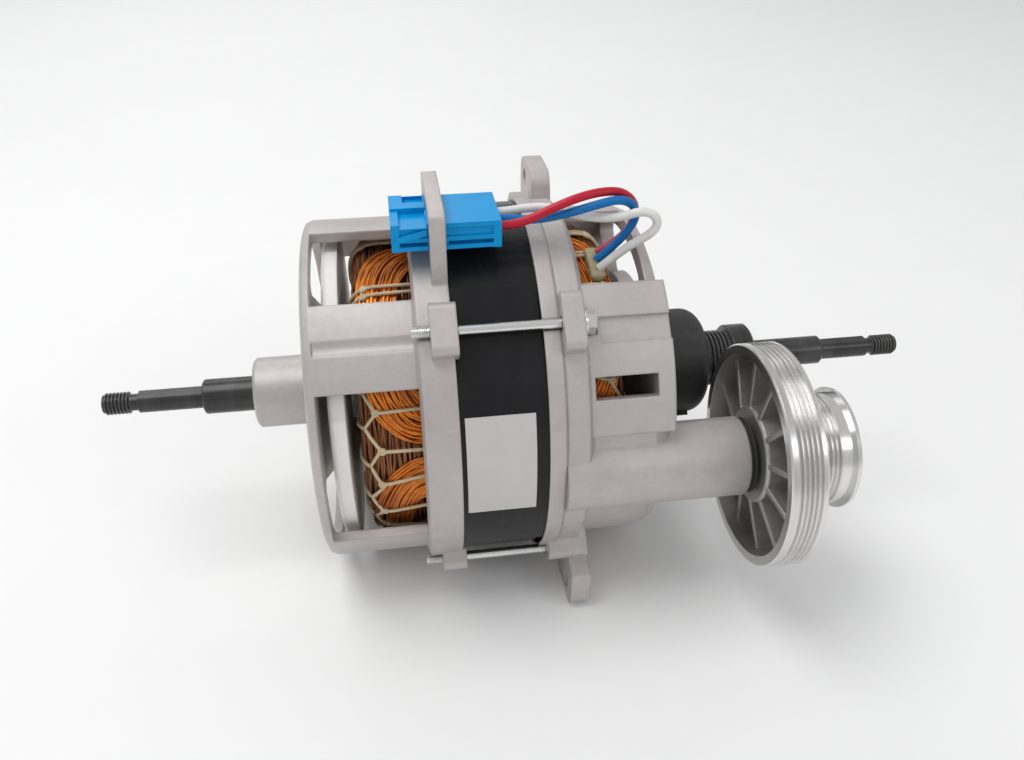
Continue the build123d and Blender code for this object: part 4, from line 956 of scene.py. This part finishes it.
class MotorSizes(bpy.types.PropertyGroup):
    """Sizes of the wire, the cords and the leads."""

    strand_radius: length_setting("Strand radius", "Radius of one winding wire", 0.00052)
    strand_pitch: length_setting("Strand pitch", "Distance between neighbouring wires", 0.00108)
    lacing_radius: length_setting("Lacing radius", "Radius of the cord that laces the bundles", 0.0006)
    lacing_spacing: bpy.props.FloatProperty(
        name="Lacing spacing", description="Angle between the net's ties", default=math.radians(14.5),
        unit="ROTATION", subtype="ANGLE",
    )
    lead_radius: length_setting("Lead radius", "Radius of an insulated lead", 0.00145)


class MotorColours(bpy.types.PropertyGroup):
    """Main colours of the finishes."""

    casting: colour_setting("Casting", "Cast aluminium of the end bells", (0.55, 0.51, 0.495))
    turned: colour_setting("Turned metal", "Turned aluminium of the belt pulley", (0.88, 0.87, 0.86))
    paint: colour_setting("Stack paint", "Gloss paint of the stator stack", (0.008, 0.008, 0.009))
    wire: colour_setting("Wire", "Varnished copper wire", (0.90, 0.29, 0.04))
    housing: colour_setting("Plug housing", "Blue moulded plug housing", (0.001, 0.33, 0.74))
    lead_red: colour_setting("Red lead", "Insulation of the first lead", (0.55, 0.012, 0.035))
    lead_blue: colour_setting("Blue lead", "Insulation of the second lead", (0.003, 0.17, 0.50))
    lead_white: colour_setting("White lead", "Insulation of the third lead", (0.82, 0.81, 0.77))


def sizes():
    """The scene's sizes."""
    return bpy.context.scene.motor_sizes


def colours():
    """The scene's colours."""
    return bpy.context.scene.motor_colours


# The camera at the photograph's angle, with its lens in millimetres and its spot in metres
FOCAL_LENGTH = 31.640625
SENSOR_WIDTH = 36.0
CAMERA_SPOT = (-0.0540, -0.2858, 0.1824)
CAMERA_HEADING = (0.1209, 0.8325, -0.5406)


class MOTOR_OT_camera(bpy.types.Operator):
    """Place the camera at the photograph's angle"""

    bl_idname = "motor.camera"
    bl_label = "Camera"

    def execute(self, context):
        lens = bpy.data.cameras.new("camera")
        lens.sensor_width = SENSOR_WIDTH
        lens.lens = FOCAL_LENGTH
        lens.clip_start = 0.01
        lens.clip_end = 20.0
        camera = bpy.data.objects.new("camera", lens)
        context.scene.collection.objects.link(camera)
        camera.location = CAMERA_SPOT
        camera.rotation_mode = "QUATERNION"
        camera.rotation_quaternion = Vector(CAMERA_HEADING).to_track_quat("-Z", "Y")
        context.scene.camera = camera
        return {"FINISHED"}


# Each lead's route from the plug to the joint, in millimetres from the middle of the stack
LEAD_ROUTES = {
    "red": (
        (1.2, -23.0, 69.9), (7.0, -23.0, 69.9), (13.0, -22.4, 71.0), (20.4, -21.6, 74.0),
        (28.4, -21.0, 76.9), (36.6, -19.4, 78.0), (44.0, -17.2, 77.0), (49.4, -15.0, 72.2),
        (50.4, -13.6, 65.4), (46.8, -12.8, 59.3), (42.0, -13.0, 56.0), (38.0, -13.4, 53.8),
    ),
    "blue": (
        (1.2, -17.3, 69.9), (7.0, -17.3, 69.9), (13.6, -18.0, 69.2), (20.8, -19.2, 70.2),
        (28.6, -21.0, 72.6), (36.2, -21.8, 74.9), (42.6, -21.2, 75.9), (48.0, -19.2, 73.2),
        (49.8, -17.2, 67.4), (46.4, -16.6, 61.4), (41.8, -16.8, 57.0), (37.0, -17.0, 53.0),
    ),
    "white": (
        (1.2, -11.6, 69.9), (7.0, -11.6, 69.9), (14.4, -12.4, 71.2), (21.6, -14.2, 71.6),
        (29.4, -17.2, 69.6), (36.8, -20.6, 69.4), (43.4, -23.6, 70.8), (48.2, -25.2, 73.0),
        (52.4, -26.2, 72.6), (54.6, -26.4, 69.2), (52.6, -25.8, 65.4), (48.0, -23.4, 61.6),
        (42.8, -21.4, 56.8), (37.2, -20.6, 51.6),
    ),
}


class MOTOR_OT_leads(bpy.types.Operator):
    """Run the three insulated leads from the plug to the winding"""

    bl_idname = "motor.leads"
    bl_label = "Leads"

    def execute(self, context):
        for tint, route in LEAD_ROUTES.items():
            node = "lead_" + tint
            curve = bpy.data.curves.new(node, "CURVE")
            curve.dimensions = "3D"
            curve.bevel_depth = sizes().lead_radius
            curve.bevel_resolution = 4
            curve.resolution_u = 10
            curve.use_fill_caps = True
            spline = curve.splines.new("NURBS")
            spline.points.add(len(route) - 1)
            for point, spot in zip(spline.points, route):
                point.co = (*place(*spot), 1.0)
            spline.order_u = 3
            spline.use_endpoint_u = True
            curve.materials.append(insulation(tint, tuple(getattr(colours(), node))))
            lead = bpy.data.objects.new(node + "_insulation", curve)
            context.scene.collection.objects.link(lead)
            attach(lead, "frame")
            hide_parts(node)
        return {"FINISHED"}


class MOTOR_OT_castings(bpy.types.Operator):
    """Give the end bells and the cage their cast skin"""

    bl_idname = "motor.castings"
    bl_label = "Castings"

    def execute(self, context):
        skin = cast_aluminium()
        dress("left_end_bell", skin)
        dress("right_end_bell", skin)
        dress("rotor_cage", cage_casting())
        return {"FINISHED"}


class MOTOR_OT_stack(bpy.types.Operator):
    """Paint the stator stack and finish the rotor inside it"""

    bl_idname = "motor.stack"
    bl_label = "Stator and rotor"

    def execute(self, context):
        dress("stator_core", stack_paint())
        dress("rotor_core", rotor_steel())
        dress("slot_liners", liner_film())
        return {"FINISHED"}


class MOTOR_OT_shafts(bpy.types.Operator):
    """Finish the shafts, the motor pulley, the bearings and the fasteners"""

    bl_idname = "motor.shafts"
    bl_label = "Shafts and bearings"

    def execute(self, context):
        oxide = black_oxide()
        dress("motor_shaft", oxide)
        dress("motor_pulley", oxide)
        steel = countershaft_steel()
        dress("countershaft", steel)
        dress("retaining_ring", steel)
        polished = bearing_steel()
        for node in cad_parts:
            if "bearing_" in node:
                dress(node, polished)
        dress("preload_washer", polished)
        zinc = bright_zinc()
        for node in ("tie_bolts", "pulley_washer", "pulley_nut"):
            dress(node, zinc)
        return {"FINISHED"}


class MOTOR_OT_belt_pulley(bpy.types.Operator):
    """Turn the rim and the small step bright, and leave the pocket as cast"""

    bl_idname = "motor.belt_pulley"
    bl_label = "Belt pulley"

    def execute(self, context):
        pocket_start = 0.4 * MM
        pocket_depth = 11.0 * MM
        pocket_radius = 34.6 * MM
        cup_start = 12.5 * MM
        cup_radius = 15.6 * MM
        pulley = dress("drive_pulley", turned_aluminium(), pulley_casting())
        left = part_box("drive_pulley")[0].x
        axis_y, axis_z = COUNTER_AXIS
        for face in pulley.data.polygons:
            station = face.center.x - left
            reach = math.hypot(face.center.y - axis_y, face.center.z - axis_z)
            in_pocket = pocket_start < station < pocket_depth and reach < pocket_radius
            in_cup = station > cup_start and reach < cup_radius
            face.material_index = 1 if in_pocket or in_cup else 0
        return {"FINISHED"}


class MOTOR_OT_mouldings(bpy.types.Operator):
    """Finish the fan, the rubber pieces, the plug and the blank plate"""

    bl_idname = "motor.mouldings"
    bl_label = "Mouldings and plate"

    def execute(self, context):
        dress("cooling_fan", fan_plastic())
        rubber = black_rubber()
        dress("rubber_ring", rubber)
        dress("tube_seal", rubber)
        dress("connector_housing", plug_plastic())
        dress("connector_terminals", terminal_brass())
        dress("rating_plate", blank_plate())
        return {"FINISHED"}


class MOTOR_OT_winding(bpy.types.Operator):
    """Wind both end bundles and fill the slots"""

    bl_idname = "motor.winding"
    bl_label = "Winding"

    def execute(self, context):
        strand_seed = 11
        coil_seed = 21
        wire = varnished_copper()
        aged = varnished_strands()
        tubes = [bundle_mass(side, length) for side, length, _ in BUNDLES] + slot_bars()
        mesh = join_tubes("winding_mass", tubes)
        face_outward(mesh)
        # The mass shows only through the gaps between the wires; its dark colour is varnish plus painted
        # shade.
        mass = new_piece("winding_mass", mesh, varnish_and_wire())
        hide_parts("stator_winding")
        radius = sizes().strand_radius
        pitch = sizes().strand_pitch / MM
        for side, length, name in BUNDLES:
            tubes = strand_tubes(side, length, radius / MM, pitch, strand_seed + side)
            strands = new_piece("strands_" + name, join_tubes("strands_" + name, tubes), aged)
            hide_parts("winding_turns_" + name)
            tubes = coil_tubes(side, length, radius, coil_seed + side)
            new_piece("coils_" + name, join_tubes("coils_" + name, tubes), wire)
        return {"FINISHED"}


# The angles of each bundle's plain loops, and the spans of its nets, in degrees
LEFT_LOOPS = (52, 65, 68, 96, 99, 126, 129)
LEFT_NETS = ((-35, 37.5), (150, 295))
RIGHT_LOOPS = (54, 62.5, 77, 79, 94, 96, 122, 135)
RIGHT_NETS = ((-30, 42), (150, 295))


class MOTOR_OT_lacing(bpy.types.Operator):
    """Lace both end bundles with cord"""

    bl_idname = "motor.lacing"
    bl_label = "Lacing"

    def execute(self, context):
        seed = 5
        cord = lacing_cord()
        spacing = math.degrees(sizes().lacing_spacing)
        radius = sizes().lacing_radius
        plans = ((LEFT_LOOPS, LEFT_NETS), (RIGHT_LOOPS, RIGHT_NETS))
        for (side, length, name), (loops, nets) in zip(BUNDLES, plans):
            tubes = lacing_tubes(side, length, spacing, radius, seed + side, loops, nets)
            new_piece("lacing_" + name, join_tubes("lacing_" + name, tubes), cord)
        return {"FINISHED"}


def squared(value):
    """A sine or cosine pushed outward, which makes a circle squarer."""
    return abs(value) ** 0.7 * math.copysign(1, value)


class MOTOR_OT_splice(bpy.types.Operator):
    """Wrap the joint between the leads and the winding"""

    bl_idname = "motor.splice"
    bl_label = "Lead joint"

    def execute(self, context):
        rows = 34
        columns = 24
        end_share = 0.03
        fullness = 3.4
        wrap_depth = 0.05
        wrap_turns = 58.0
        points = []
        for row in range(rows):
            share = row / (rows - 1)
            angle = SPLICE_ANGLE + SPLICE_SWEEP * share
            bulge = fullness * math.sin(math.pi * (end_share + (1 - 2 * end_share) * share))
            bulge = min(1.0, bulge)
            wrap = 1.0 + wrap_depth * math.sin(share * wrap_turns)
            for column in range(columns):
                swing = FULL_TURN * column / columns
                x = SPLICE_X + SPLICE_HALF_WIDTH * bulge * wrap * squared(math.cos(swing))
                radius = SPLICE_RADIUS + SPLICE_HALF_HEIGHT * bulge * wrap * squared(math.sin(swing))
                points.append(around(x, radius, angle))
        mesh = new_mesh("lead_joint", points, capped(rows, columns))
        face_outward(mesh)
        joint = new_piece("lead_joint", mesh, varnished_tape())
        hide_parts("lead_splice")
        return {"FINISHED"}


# The studio, in metres and watts
SWEEP_HALF_WIDTH = 4.0
SWEEP_PROFILE = ((-4.0, 0.0), (2.2, 0.0), (2.6, 0.1), (2.9, 0.4), (3.0, 0.8), (3.0, 4.0))
SURROUND_LIGHT = (0.60, 0.605, 0.61, 1.0)
SURROUND_REFLECTION = (0.58, 0.58, 0.59, 1.0)
WHITE = (1.0, 1.0, 1.0, 1.0)
LAMPS = (
    ("key_lamp", (-0.40, -0.05, 1.05), (0.0, 0.0, 0.0), 0.8, 5.4),
    ("side_lamp", (0.75, -0.85, 0.75), (0.03, 0.0, 0.0), 0.5, 1.3),
    ("back_lamp", (-0.3, 1.25, 0.95), (-0.2, 0.7, 0.0), 0.9, 3.4),
)


def lay_floor(scene):
    """A paper sweep under the motor's lowest point."""
    nodes = ("stator_core", "left_end_bell", "right_end_bell")
    floor_z = min(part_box(node)[0].z for node in nodes)
    points = []
    for x in (-SWEEP_HALF_WIDTH, SWEEP_HALF_WIDTH):
        for y, z in SWEEP_PROFILE:
            points.append((x, y, floor_z + z))
    mesh = new_mesh("sweep", points, quads(2, len(SWEEP_PROFILE), closed_columns=False))
    mesh.shade_smooth()
    mesh.materials.append(studio_paper())
    floor = bpy.data.objects.new("sweep", mesh)
    scene.collection.objects.link(floor)


def light_surround(scene):
    """An even surround that the camera sees as white."""
    world = bpy.data.worlds.new("studio")
    scene.world = world
    world.use_nodes = True
    tree = world.node_tree
    back = tree.nodes["Background"]
    back.inputs["Strength"].default_value = 1.0
    rays = tree.nodes.new("ShaderNodeLightPath").outputs
    mirrored = math_node(tree, "MAXIMUM", rays["Is Glossy Ray"], rays["Is Transmission Ray"])
    tint = mix_colour(tree, mirrored, SURROUND_LIGHT, SURROUND_REFLECTION)
    tint = mix_colour(tree, rays["Is Camera Ray"], tint, WHITE)
    tree.links.new(tint, back.inputs["Color"])


def hang_lamps(scene):
    """Soft lamps above, beside and behind the motor."""
    for name, spot, target, width, power in LAMPS:
        light = bpy.data.lights.new(name, "AREA")
        light.shape = "RECTANGLE"
        light.size = width
        light.size_y = width * 0.7
        light.energy = power
        lamp = bpy.data.objects.new(name, light)
        scene.collection.objects.link(lamp)
        lamp.location = spot
        lamp.rotation_mode = "QUATERNION"
        lamp.rotation_quaternion = (Vector(target) - Vector(spot)).to_track_quat("-Z", "Y")


class MOTOR_OT_studio(bpy.types.Operator):
    """Set up the pale floor, the white surround and the soft lamps"""

    bl_idname = "motor.studio"
    bl_label = "Studio"

    def execute(self, context):
        lay_floor(context.scene)
        light_surround(context.scene)
        hang_lamps(context.scene)
        context.scene.view_settings.view_transform = "Standard"
        return {"FINISHED"}


class MOTOR_PT_panel(bpy.types.Panel):
    """Lists the pieces of the motor's dressing"""

    bl_idname = "MOTOR_PT_panel"
    bl_label = "Dryer Motor"
    bl_space_type = "VIEW_3D"
    bl_region_type = "UI"
    bl_category = "Motor"

    def draw(self, context):
        for step in STEPS:
            self.layout.operator(step.bl_idname)
        for values in (context.scene.motor_sizes, context.scene.motor_colours):
            box = self.layout.box()
            for name in values.__annotations__:
                box.prop(values, name)


STEPS = (
    MOTOR_OT_camera,
    MOTOR_OT_leads,
    MOTOR_OT_castings,
    MOTOR_OT_stack,
    MOTOR_OT_shafts,
    MOTOR_OT_belt_pulley,
    MOTOR_OT_mouldings,
    MOTOR_OT_winding,
    MOTOR_OT_lacing,
    MOTOR_OT_splice,
    MOTOR_OT_studio,
)
CLASSES = (MotorSizes, MotorColours, *STEPS, MOTOR_PT_panel)


def register():
    for made in CLASSES:
        bpy.utils.register_class(made)
    bpy.types.Scene.motor_sizes = bpy.props.PointerProperty(type=MotorSizes)
    bpy.types.Scene.motor_colours = bpy.props.PointerProperty(type=MotorColours)


def unregister():
    del bpy.types.Scene.motor_colours
    del bpy.types.Scene.motor_sizes
    for made in reversed(CLASSES):
        bpy.utils.unregister_class(made)


def main():
    """Registers the add-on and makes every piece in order."""
    register()
    bpy.ops.motor.camera()
    bpy.ops.motor.leads()
    bpy.ops.motor.castings()
    bpy.ops.motor.stack()
    bpy.ops.motor.shafts()
    bpy.ops.motor.belt_pulley()
    bpy.ops.motor.mouldings()
    bpy.ops.motor.winding()
    bpy.ops.motor.lacing()
    bpy.ops.motor.splice()
    bpy.ops.motor.studio()
    bpy.context.view_layer.update()


if __name__ == "__main__":
    main()
